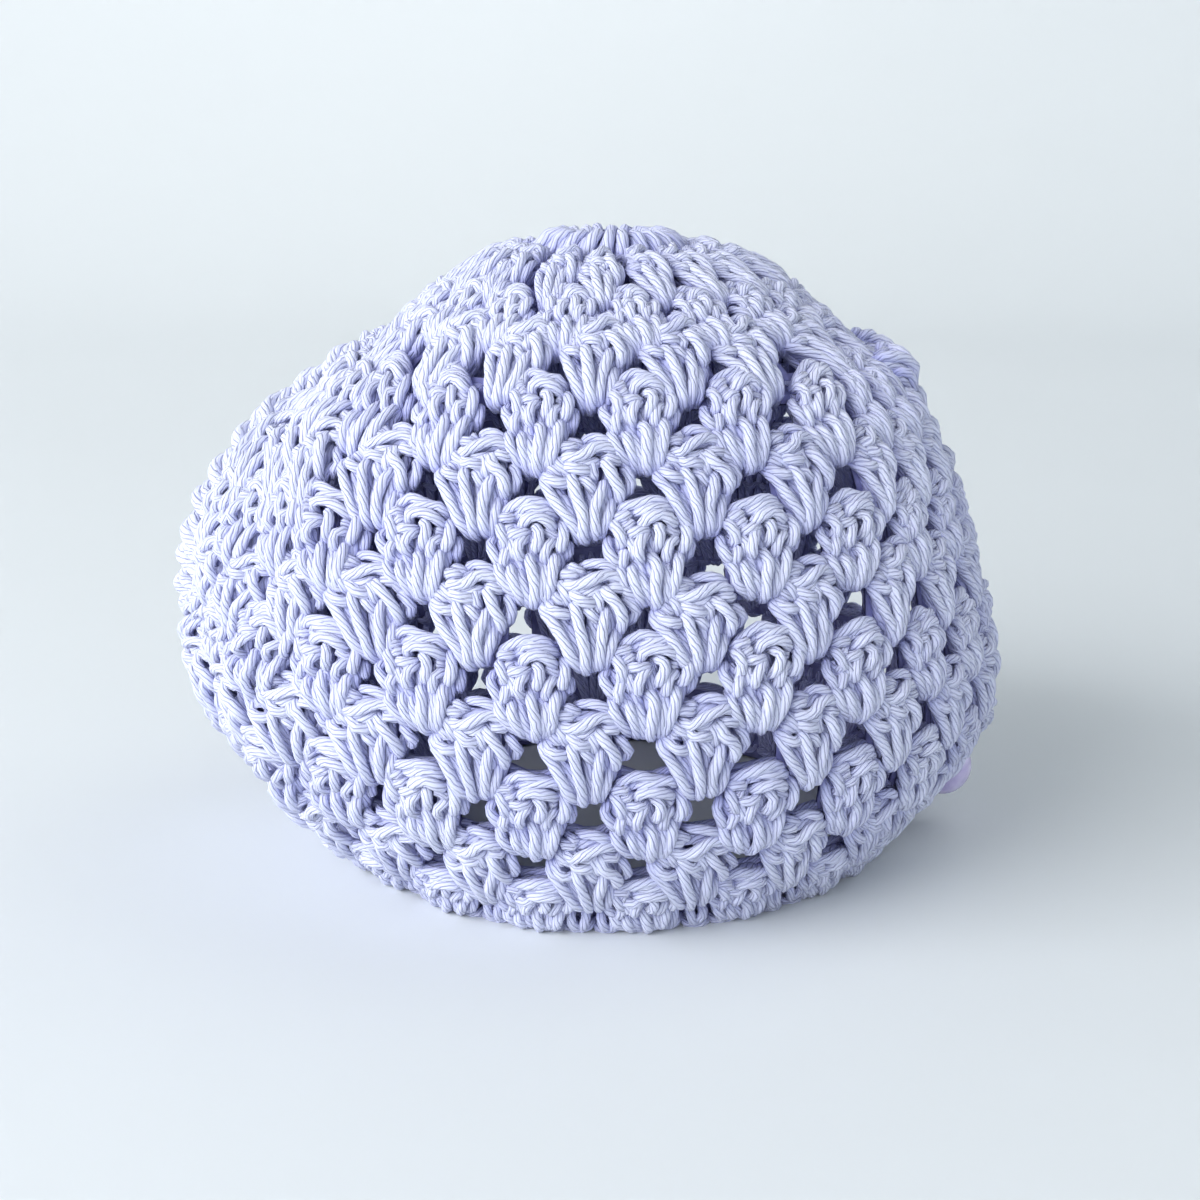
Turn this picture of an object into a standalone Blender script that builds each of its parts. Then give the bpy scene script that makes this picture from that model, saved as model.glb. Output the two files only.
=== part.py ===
"""Crocheted cotton tea cosy, modelled at real size as the pieces it is made from.

The cosy is one wall of crochet, oval in plan, that hangs over a round belly: two panels of
granny stitch with real gaps, edged along both sides, a crown of three rounds that joins
them, a collar round the hole in the top and a button that closes it under the handle.
Every piece of cloth is a flat slab of grid cells, in stitch columns and lines, that is
opened at the gaps, thickened and then wrapped on the wall.
Frame: +X towards the handle, -X towards the spout, -Y to the front, +Z up, hem at z = 0.
"""

import math
from functools import lru_cache
from typing import Callable, NamedTuple

import bmesh
import bpy
import numpy as np
from mathutils import Matrix, Vector

MM = 0.001
COLLECTION = "tea_cosy"

# Cloth
CLOTH = 4.0 * MM                # thickness of the crochet
SEAM = 0.4 * MM                 # room kept between two pieces, measured along the wall
CENTRE_LINE = 1.6 * MM          # the front centre line, from the middle of the whole
PITCH = 20.0 * MM               # one cluster and one gap along a full-width row
COLUMNS_PER_CLUSTER = 4
CLUSTERS = 11                   # cells along a panel
CLUSTERS_LEFT = 6               # of these, the ones left of the gap next to the centre
GAP_FROM_CENTRE = 8.2 * MM      # that gap's distance from the front centre line
SMALLEST_CUT = 4.0 * MM         # narrower gaps stay closed
GAP_HEIGHT = 5.6 * MM           # along the wall
GAP_TOP_TAPER = 0.82            # a gap's width at its top over its width at its foot
CLUSTER_CORE = 3.0 * MM         # half width of the middle of a cluster
CLUSTER_SWELL = 1.6 * MM        # how far a cluster's middle stands out
GAP_DIP = 0.3 * MM              # how far the cloth at a gap lies in
SQUEEZE_START = 55.0 * MM       # beyond this the columns crowd towards the edges
BUNCH_START = 40.0 * MM         # spout side: from here the gaps close up
BUNCH_END = 68.0 * MM
BUNCH_WIDTH = 0.35              # gap width left at the end of that stretch
PLEAT = 1.3 * MM                # depth of the soft pleats beside the spout
PLEAT_ACROSS = 5.2 * MM         # distance along the wall in which a pleat turns by a radian
PLEAT_UP = 14.0 * MM            # and the height in which it does
WOBBLE = 0.45 * MM              # unevenness of the handwork


class Level(NamedTuple):
    """How far the wall's middle reaches from the centre line at one height."""

    height: float
    to_spout: float
    to_handle: float
    to_front: float


PROFILE = tuple(Level(*(value * MM for value in row)) for row in (
    (0.0, 46.0, 55.0, 54.5),
    (8.0, 55.5, 62.0, 59.5),
    (16.0, 64.5, 69.0, 63.5),
    (27.5, 75.5, 77.5, 67.5),
    (40.0, 80.5, 80.0, 69.5),
    (51.5, 81.5, 78.0, 69.0),
    (62.0, 81.0, 75.5, 66.0),
    (73.0, 78.0, 72.5, 62.0),
    (84.0, 72.0, 69.5, 57.5),
    (95.0, 59.0, 63.0, 51.5),
    (104.0, 45.5, 50.0, 43.5),
    (111.5, 34.5, 40.5, 33.5),
    (116.0, 26.0, 34.0, 25.5),
    (118.2, 20.0, 26.0, 21.0),
    (119.0, 14.9, 18.9, 16.9),
))


class Row(NamedTuple):
    """A row of gaps, or one grid line of it: its height, its pitch and its gaps' width."""

    height: float
    pitch: float
    gap: float
    shift: int                  # 1 moves the row half a pitch sideways


PANEL_ROWS = tuple(Row(height * MM, pitch * MM, gap * MM, shift) for height, pitch, gap, shift in (
    (16.1, 19.5, 5.2, 0),
    (27.6, 20.0, 6.2, 1),
    (39.8, 20.0, 7.2, 0),
    (51.2, 20.0, 7.4, 1),
    (62.2, 20.0, 7.4, 0),
    (73.2, 20.0, 7.4, 1),
    (84.2, 19.7, 6.8, 0),
    (94.8, 17.4, 5.6, 1),
))
HEM_PITCH = 17.0 * MM
HEM_LINE = 6.0 * MM             # where the hem's edge row ends
HEM_SCALLOP = 1.2 * MM          # how far the hem lifts between its resting lumps
CROWN_FOOT = 99.7 * MM          # where the panels end and the crown begins

CROWN_CLUSTERS = 18
CROWN_TURN = 0.55               # where the first gap lies, in clusters from the front centre
CROWN_ROWS = tuple(Row(height * MM, 0.0, gap * MM, shift) for height, gap, shift in (
    (104.1, 4.4, 0),
    (111.6, 3.2, 1),
    (116.4, 2.2, 0),
))
CROWN_GAP_HEIGHT = 4.4 * MM

# Openings and edges
SPOUT_CENTRE = 69.0 * MM
SPOUT_HALF_HEIGHT = 21.5 * MM
SPOUT_HALF_WIDTH = 17.0 * MM
SPOUT_EDGING = 6.0 * MM
EDGING_BUMP = 0.9 * MM
HANDLE_HALF_WIDTH = 9.0 * MM
HANDLE_FOOT = 25.0 * MM         # lowest point of the handle opening
HANDLE_FOOT_RISE = 8.0 * MM     # height in which the opening reaches its full width
HANDLE_BAND = 10.0 * MM
NOTCH_TOP = 10.0 * MM           # the hem's notch under the button
NOTCH_HALF_WIDTH = 9.0 * MM

# Collar
COLLAR_RADIUS = 13.1 * MM
COLLAR_ROLL = 3.3 * MM          # half its thickness
COLLAR_STAND = 4.4 * MM         # half its height
COLLAR_HEIGHT = 122.3 * MM      # of its middle
COLLAR_OFFSET = 2.0 * MM        # how far the top leans from the centre line to the handle
COLLAR_STITCHES = 24
COLLAR_BUMP = 0.10              # share of the roll's radius
COLLAR_SEGMENTS = 2 * COLLAR_STITCHES
COLLAR_SIDES = 8

# Button
BUTTON_RADIUS = 6.0 * MM
BUTTON_DOME = 5.2 * MM
BUTTON_BACK = 1.8 * MM
BUTTON_HEIGHT = 16.5 * MM       # where its shank meets the bands
BUTTON_STAND = 1.5 * MM         # length of the shank
SHANK_RADIUS = 2.0 * MM

LILAC = (0.58, 0.60, 0.83, 1.0)
PEARL = (0.60, 0.54, 0.80, 1.0)


# --- The wall ---------------------------------------------------------------------------

def smooth_curve(knots: np.ndarray, values: np.ndarray, at: float) -> float:
    """Read a smooth curve through points, with Hermite pieces between them."""
    slopes = np.gradient(values, knots)
    index = int(np.clip(np.searchsorted(knots, at) - 1, 0, len(knots) - 2))
    span = knots[index + 1] - knots[index]
    t = min(max((at - knots[index]) / span, 0.0), 1.0)
    start, end = values[index], values[index + 1]
    leave, arrive = slopes[index] * span, slopes[index + 1] * span
    cubic = 2 * t ** 3 - 3 * t ** 2
    return float((cubic + 1) * start + (t ** 3 - 2 * t ** 2 + t) * leave
                 - cubic * end + (t ** 3 - t ** 2) * arrive)


LEVELS = np.array(PROFILE).transpose()
ANGLES = np.linspace(0.0, 2.0 * math.pi, 721)       # from the front centre, towards the handle
QUARTER_TURN = len(ANGLES) // 4
PROBE = 0.25 * MM                                   # step that slopes are measured with


@lru_cache(maxsize=None)
def reach(height: float) -> tuple[float, float, float]:
    """The wall's reach to the spout, to the handle and to the front at a height."""
    return tuple(smooth_curve(LEVELS[0], LEVELS[index], height) for index in (1, 2, 3))


@lru_cache(maxsize=None)
def arc_table(height: float) -> np.ndarray:
    """Distance round the wall from the front centre to each of ANGLES."""
    spout, handle, front = reach(height)
    side = np.where(ANGLES <= math.pi, handle, spout)
    speed = np.hypot(side * np.cos(ANGLES), front * np.sin(ANGLES))
    steps = (speed[1:] + speed[:-1]) / 2 * np.diff(ANGLES)
    return np.concatenate(([0.0], np.cumsum(steps)))


def handle_arc(height: float) -> float:
    """Distance round the wall from the front centre to the handle's side."""
    return float(arc_table(height)[QUARTER_TURN])


def spout_arc(height: float) -> float:
    """Distance round the wall from the front centre to the spout's side, as a negative arc."""
    table = arc_table(height)
    return float(table[-QUARTER_TURN - 1] - table[-1])


def wall_point(arc: float, height: float, lift: float) -> Vector:
    """Point at a distance round the wall and a height, lifted off its middle."""
    table = arc_table(height)
    angle = float(np.interp(arc % table[-1], table, ANGLES))
    index = 1 if angle <= math.pi else 0
    sine, cosine = math.sin(angle), math.cos(angle)
    here, above, below = reach(height), reach(height + PROBE), reach(height - PROBE)
    around = Vector((here[index] * cosine, here[2] * sine, 0.0))
    up = Vector((sine * (above[index] - below[index]), -cosine * (above[2] - below[2]), 2 * PROBE))
    outward = around.cross(up).normalized()
    return Vector((CENTRE_LINE + here[index] * sine, -here[2] * cosine, height)) + outward * lift


def climb(height: float) -> float:
    """Rise in height for each unit of distance up the wall, at the front."""
    slope = (reach(height + PROBE)[2] - reach(height - PROBE)[2]) / (2 * PROBE)
    return 1.0 / math.hypot(1.0, slope)


# --- Stitch lines ------------------------------------------------------------------------

def gap_lines(rows: tuple[Row, ...], gap_height: float) -> list[Row]:
    """Two lines for each row of gaps, at the gaps' foot and top."""
    lines = []
    for row in rows:
        rise = gap_height / 2 * climb(row.height)
        lines.append(Row(row.height - rise, row.pitch, row.gap, row.shift))
        lines.append(Row(row.height + rise, row.pitch, row.gap * GAP_TOP_TAPER, row.shift))
    return lines


def panel_lines() -> list[Row]:
    """The panel's grid lines, from the hem to the crown."""
    top = PANEL_ROWS[-1]
    hem = [Row(0.0, HEM_PITCH, 0.0, 1), Row(HEM_LINE, HEM_PITCH, 0.0, 1)]
    end = [Row(CROWN_FOOT - SEAM, top.pitch, 0.0, 0)]
    return hem + gap_lines(PANEL_ROWS, GAP_HEIGHT) + end


def crown_lines() -> list[Row]:
    """The crown's grid lines, from the panels to the collar."""
    foot = [Row(CROWN_FOOT, 0.0, 0.0, 1)]
    end = [Row(PROFILE[-1].height, 0.0, 0.0, 1)]
    return foot + gap_lines(CROWN_ROWS, CROWN_GAP_HEIGHT)[:-1] + end


def spout_parting(height: float) -> float:
    """Half the distance between the two panels' edges on the spout's side."""
    reach = (height - SPOUT_CENTRE) / SPOUT_HALF_HEIGHT
    return max(SEAM / 2, SPOUT_HALF_WIDTH * (1.0 - reach ** 2))


def handle_parting(height: float) -> float:
    """Half the distance between the two panels' edges on the handle's side."""
    opening = HANDLE_HALF_WIDTH * min(max((height - HANDLE_FOOT) / HANDLE_FOOT_RISE, 0.0), 1.0)
    notch = NOTCH_HALF_WIDTH * max(1.0 - height / NOTCH_TOP, 0.0)
    return max(SEAM / 2, opening, notch)


def left_edge(height: float) -> float:
    """Arc at which the front panel begins, on the spout's side."""
    return spout_arc(height) + spout_parting(height) + SPOUT_EDGING + SEAM


def right_edge(height: float) -> float:
    """Arc at which the front panel ends, on the handle's side."""
    return handle_arc(height) - handle_parting(height) - HANDLE_BAND - SEAM


def column_offsets(pitch: float, gap: float, core: float) -> tuple[float, ...]:
    """Places of a cluster's four columns, from the middle of the gap beside it."""
    if gap == 0.0:
        return tuple(pitch * (index - 0.5) / COLUMNS_PER_CLUSTER for index in range(COLUMNS_PER_CLUSTER))
    return -gap / 2, gap / 2, pitch / 2 - core, pitch / 2 + core


def nominal_arc(column: int, line: Row) -> tuple[float, int]:
    """Arc of a column before crowding, and its place in its cluster (0 and 1 bound a gap)."""
    cell, spot = divmod(column - 2 * line.shift, COLUMNS_PER_CLUSTER)
    first = GAP_FROM_CENTRE * line.pitch / PITCH
    centre = first + (cell - CLUSTERS_LEFT + line.shift / 2) * line.pitch
    return centre + column_offsets(line.pitch, line.gap, CLUSTER_CORE)[spot], spot


def panel_arc(column: int, line: Row) -> float:
    """Arc of a column on a panel, crowded towards the edges and bunched beside the spout."""
    last = CLUSTERS * COLUMNS_PER_CLUSTER
    arc, spot = nominal_arc(column, line)
    if spot < 2 and line.gap and arc < -BUNCH_START:
        share = min((-arc - BUNCH_START) / (BUNCH_END - BUNCH_START), 1.0)
        centre = arc + line.gap * (0.5 - spot)
        arc = centre + (arc - centre) * (1.0 - share * (1.0 - BUNCH_WIDTH))
    start = SQUEEZE_START * line.pitch / PITCH
    edge = right_edge(line.height) if arc > 0 else left_edge(line.height)
    nominal_edge = nominal_arc(last if arc > 0 else 0, line)[0]
    if abs(arc) > start or column in (0, last):
        sign = 1.0 if arc > 0 else -1.0
        arc = sign * (start + (abs(arc) - start) * (abs(edge) - start) / (abs(nominal_edge) - start))
    return arc


def unevenness(column: int, line: int, phase: float) -> float:
    """A repeatable irregular number between -1 and 1."""
    return math.sin(column * 2.39 + line * 1.71 + phase) * math.cos(column * 0.83 - line * 1.13 + phase)


# --- Building ----------------------------------------------------------------------------

def remove_everything() -> None:
    """Empty the file the script runs in."""
    for item in list(bpy.data.objects):
        bpy.data.objects.remove(item, do_unlink=True)


def make_material(name: str, color: tuple, roughness: float) -> bpy.types.Material:
    """A plain Principled material."""
    material = bpy.data.materials.new(name)
    material.use_nodes = True
    shader = material.node_tree.nodes["Principled BSDF"]
    shader.inputs["Base Color"].default_value = color
    shader.inputs["Roughness"].default_value = roughness
    shader.inputs["Metallic"].default_value = 0.0
    return material


def add_object(name: str, bm: bmesh.types.BMesh, color: tuple, roughness: float) -> None:
    """Turn a closed bmesh into a named object with its own material."""
    bmesh.ops.recalc_face_normals(bm, faces=bm.faces)
    mesh = bpy.data.meshes.new(name)
    bm.to_mesh(mesh)
    bm.free()
    mesh.shade_smooth()
    mesh.set_sharp_from_angle(angle=math.radians(50.0))
    mesh.materials.append(make_material(name, color, roughness))
    bpy.data.collections[COLLECTION].objects.link(bpy.data.objects.new(name, mesh))


def cloth_slab(columns: int, lines: int, is_gap: Callable[[int, int], bool],
               place: Callable[[int, int, bool], Vector]) -> bmesh.types.BMesh:
    """A grid of cells opened at its gaps, thickened, and wrapped point by point.

    is_gap(column, line) says whether the cell above and right of a grid point is a gap.
    place(column, line, outside) gives the point's position on the cloth's two faces.
    """
    bm = bmesh.new()
    bmesh.ops.create_grid(bm, x_segments=columns, y_segments=lines, size=1.0)
    column_of = bm.verts.layers.int.new("column")
    line_of = bm.verts.layers.int.new("line")
    for vert in bm.verts:
        vert[column_of] = round((vert.co.x + 1.0) / 2.0 * columns)
        vert[line_of] = round((vert.co.y + 1.0) / 2.0 * lines)
    gaps = [face for face in bm.faces
            if is_gap(min(v[column_of] for v in face.verts), min(v[line_of] for v in face.verts))]
    bmesh.ops.delete(bm, geom=gaps, context="FACES")
    for vert in bm.verts:
        vert.co = place(vert[column_of], vert[line_of], True)
    bmesh.ops.remove_doubles(bm, verts=bm.verts, dist=0.01 * MM)
    inner = bmesh.ops.extrude_face_region(bm, geom=bm.faces[:])["geom"]
    for vert in (item for item in inner if isinstance(item, bmesh.types.BMVert)):
        vert.co = place(vert[column_of], vert[line_of], False)
    return bm


def face_lift(outside: bool, relief: float) -> float:
    """Lift of one face of the cloth: relief shows outside and fades to a third within."""
    return CLOTH / 2 + relief if outside else -CLOTH / 2 + relief / 3


def pleats(arc: float, height: float) -> float:
    """Soft pleats in the cloth that is crowded beside the spout."""
    share = min(max((-arc - BUNCH_START) / (BUNCH_END - BUNCH_START), 0.0), 1.0)
    return PLEAT * share * math.sin(arc / PLEAT_ACROSS + height / PLEAT_UP)


def build_panel(name: str, side: int) -> None:
    """A granny-stitch panel: side 1 is the front, -1 the back."""
    lines = panel_lines()
    last_column, last_line = CLUSTERS * COLUMNS_PER_CLUSTER, len(lines) - 1
    phase = 0.4 if side > 0 else 2.6

    def is_gap(column: int, index: int) -> bool:
        foot = lines[index]
        if index < 2 or index % 2 or (column - 2 * foot.shift) % COLUMNS_PER_CLUSTER:
            return False
        if column < 1 or column + 1 >= last_column:
            return False
        return panel_arc(column + 1, foot) - panel_arc(column, foot) > SMALLEST_CUT

    def place(column: int, index: int, outside: bool) -> Vector:
        line = lines[index]
        arc, height = panel_arc(column, line), line.height
        in_gap = line.gap and nominal_arc(column, line)[1] < 2
        relief = pleats(arc, height) + (-GAP_DIP if in_gap else CLUSTER_SWELL)
        if 0 < column < last_column and 1 < index < last_line:
            arc += WOBBLE * unevenness(column, index, phase)
            height += WOBBLE * unevenness(index, column, phase + 1.0)
        if index == 0:
            height = HEM_SCALLOP if column % COLUMNS_PER_CLUSTER > 1 else 0.0
            relief = 0.0
        point = wall_point(arc, height, face_lift(outside, relief))
        if index == 0:
            point.z = height
        point.y *= side
        return point

    add_object(name, cloth_slab(last_column, last_line, is_gap, place), LILAC, 0.85)


def build_edge(name: str, side: int, columns: int, start: Callable[[float], float],
               end: Callable[[float], float]) -> None:
    """A stitched edge strip between two arcs that depend on the height."""
    lines = panel_lines()

    def place(column: int, index: int, outside: bool) -> Vector:
        height = lines[index].height
        first, last = start(height), end(height)
        arc = first + (last - first) * column / columns
        relief = EDGING_BUMP if index % 2 else 0.0
        point = wall_point(arc, height, face_lift(outside, relief))
        if index == 0:
            point.z = 0.0
        point.y *= side
        return point

    add_object(name, cloth_slab(columns, len(lines) - 1, lambda column, line: False, place), LILAC, 0.85)


def build_crown() -> None:
    """Three rounds of clusters above the openings, with gaps cut in the widest."""
    lines = crown_lines()
    columns = CROWN_CLUSTERS * COLUMNS_PER_CLUSTER

    def place(column: int, index: int, outside: bool) -> Vector:
        line = lines[index]
        around = arc_table(line.height)[-1]
        pitch = around / CROWN_CLUSTERS
        cell, spot = divmod(column - 2 * line.shift, COLUMNS_PER_CLUSTER)
        core = min(CLUSTER_CORE, pitch / 6)
        arc = (cell + line.shift / 2 + CROWN_TURN) * pitch + column_offsets(pitch, line.gap, core)[spot]
        swell = CLUSTER_SWELL if 0 < index < len(lines) - 1 else 0.0
        relief = -GAP_DIP if line.gap and spot < 2 else swell
        return wall_point(arc, line.height, face_lift(outside, relief))

    def is_gap(column: int, index: int) -> bool:
        foot = lines[index]
        wide = foot.gap > SMALLEST_CUT
        return wide and index % 2 == 1 and (column - 2 * foot.shift) % COLUMNS_PER_CLUSTER == 0

    add_object("crown", cloth_slab(columns, len(lines) - 1, is_gap, place), LILAC, 0.85)


def build_collar() -> None:
    """A rolled ring of short stitches round the hole in the top."""
    bpy.ops.mesh.primitive_torus_add(major_segments=COLLAR_SEGMENTS, minor_segments=COLLAR_SIDES,
                                     major_radius=COLLAR_RADIUS, minor_radius=COLLAR_ROLL)
    ring = bpy.context.object
    bm = bmesh.new()
    bm.from_mesh(ring.data)
    bpy.data.objects.remove(ring, do_unlink=True)
    for vert in bm.verts:
        angle = math.atan2(vert.co.y, vert.co.x)
        centre = Vector((math.cos(angle), math.sin(angle), 0.0)) * COLLAR_RADIUS
        bump = 1.0 + COLLAR_BUMP * math.cos(angle * COLLAR_STITCHES)
        swelled = (vert.co - centre) * bump
        swelled.z *= COLLAR_STAND / COLLAR_ROLL
        vert.co = centre + swelled + Vector((CENTRE_LINE + COLLAR_OFFSET, 0.0, COLLAR_HEIGHT))
    add_object("top_collar", bm, LILAC, 0.85)


def button_frame() -> Matrix:
    """Frame at the foot of the button's shank, its Z out of the wall."""
    arc = handle_arc(BUTTON_HEIGHT)
    foot = wall_point(arc, BUTTON_HEIGHT, CLOTH / 2 + EDGING_BUMP + SEAM / 2)
    out = foot - wall_point(arc, BUTTON_HEIGHT, 0.0)
    return Matrix.Translation(foot) @ out.to_track_quat("Z", "Y").to_matrix().to_4x4()


def build_button() -> None:
    """A domed button with a rounded back, and the sewn neck that holds it off the bands."""
    frame = button_frame()
    shank = bmesh.new()
    bmesh.ops.create_cone(shank, cap_ends=True, segments=12, radius1=SHANK_RADIUS, radius2=SHANK_RADIUS,
                          depth=BUTTON_STAND)
    bmesh.ops.transform(shank, matrix=frame @ Matrix.Translation((0, 0, BUTTON_STAND / 2)), verts=shank.verts)
    add_object("button_shank", shank, LILAC, 0.85)
    dome = bmesh.new()
    bmesh.ops.create_uvsphere(dome, u_segments=20, v_segments=12, radius=BUTTON_RADIUS)
    for vert in dome.verts:
        vert.co.z *= (BUTTON_DOME if vert.co.z > 0 else BUTTON_BACK) / BUTTON_RADIUS
    rise = BUTTON_STAND + SEAM + BUTTON_BACK
    bmesh.ops.transform(dome, matrix=frame @ Matrix.Translation((0, 0, rise)), verts=dome.verts)
    add_object("button", dome, PEARL, 0.25)


def main() -> None:
    """Build every piece of the cosy."""
    remove_everything()
    bpy.context.scene.collection.children.link(bpy.data.collections.new(COLLECTION))
    for word, side in (("front", 1), ("back", -1)):
        build_panel(f"{word}_panel", side)
        build_edge(f"spout_edging_{word}", side, 2,
                   lambda z: spout_arc(z) + spout_parting(z),
                   lambda z: left_edge(z) - SEAM)
        build_edge(f"handle_band_{word}", side, 3,
                   lambda z: right_edge(z) + SEAM,
                   lambda z: handle_arc(z) - handle_parting(z))
    build_crown()
    build_collar()
    build_button()


main()
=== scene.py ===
"""Looks of a crocheted cotton tea cosy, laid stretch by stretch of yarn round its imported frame.

The wall of the cosy is described once, as an oval that is wrapped by a distance round it, a
height and a lift off it. Each kind of stitch is a short list of yarn routes in its own
millimetres, across, up and out of the cloth. A template of such a stitch is rolled from
bmesh grids, and copies of it are laid on the wall and joined. A thin lattice of cloth with
the same gaps lies behind the stitches.
Frame: +X towards the handle, -X towards the spout, -Y to the front, +Z up, hem at z = 0.
"""

from __future__ import annotations

import logging
import math
from collections.abc import Callable, Sequence
from dataclasses import dataclass, field
from enum import Enum

import bmesh
import bpy
import numpy as np
from mathutils import Matrix, Vector


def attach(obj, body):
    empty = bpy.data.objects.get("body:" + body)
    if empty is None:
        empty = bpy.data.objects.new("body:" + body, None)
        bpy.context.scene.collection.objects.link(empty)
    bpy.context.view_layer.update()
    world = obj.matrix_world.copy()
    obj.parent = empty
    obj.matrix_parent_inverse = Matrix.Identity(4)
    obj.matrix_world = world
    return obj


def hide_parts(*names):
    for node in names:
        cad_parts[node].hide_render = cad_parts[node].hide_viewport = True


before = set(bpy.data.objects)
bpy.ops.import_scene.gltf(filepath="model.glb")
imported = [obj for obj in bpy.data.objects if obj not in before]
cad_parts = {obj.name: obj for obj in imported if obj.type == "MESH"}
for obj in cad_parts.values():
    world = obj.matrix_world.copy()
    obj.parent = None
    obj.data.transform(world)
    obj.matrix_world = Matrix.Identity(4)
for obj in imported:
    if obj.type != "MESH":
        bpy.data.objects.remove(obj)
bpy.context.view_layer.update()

MM = 0.001
MERGE = 0.001                           # distance in millimetres under which points of a solid become one
SHEET_MERGE = 0.01                      # and of a sheet
BODY = "root"
Points = np.ndarray
Place = tuple[float, float, float]
Span = tuple[float, float]
Color = tuple[float, float, float, float]
log = logging.getLogger("tea_cosy")


class Side(Enum):
    """Half of the cosy that a piece belongs to."""

    FRONT = "front"
    BACK = "back"


class Slot(Enum):
    """Material slots of the record."""

    YARN = "cotton_yarn"
    THREAD = "sewing_thread"
    PEARL = "pearl_button"


# --- Shape of the wall -------------------------------------------------------------------

def smooth_curve(knots: Points, values: Points, at: Points) -> Points:
    """Read a smooth curve through points, with Hermite pieces between them.

    Args:
        knots: Rising parameter of each point.
        values: Value at each knot, one row for each.
        at: Parameters to read the curve at.

    Returns:
        One row for each parameter.
    """
    slopes = np.gradient(values, knots, axis=0)
    index = np.clip(np.searchsorted(knots, at) - 1, 0, len(knots) - 2)
    span = knots[index + 1] - knots[index]
    t = np.clip((at - knots[index]) / span, 0.0, 1.0)
    if values.ndim > 1:
        span, t = span[:, None], t[:, None]
    cubic = 2 * t ** 3 - 3 * t ** 2
    return ((cubic + 1) * values[index] + (t ** 3 - 2 * t ** 2 + t) * slopes[index] * span
            - cubic * values[index + 1] + (t ** 3 - t ** 2) * slopes[index + 1] * span)


def unit(vectors: Points) -> Points:
    """Vectors scaled to length one."""
    return vectors / np.maximum(np.linalg.norm(vectors, axis=-1, keepdims=True), 1e-9)


def running_length(points: Points) -> Points:
    """Distance along a line of points to each of them."""
    return np.concatenate(([0.0], np.cumsum(np.linalg.norm(np.diff(points, axis=0), axis=1))))


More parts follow.
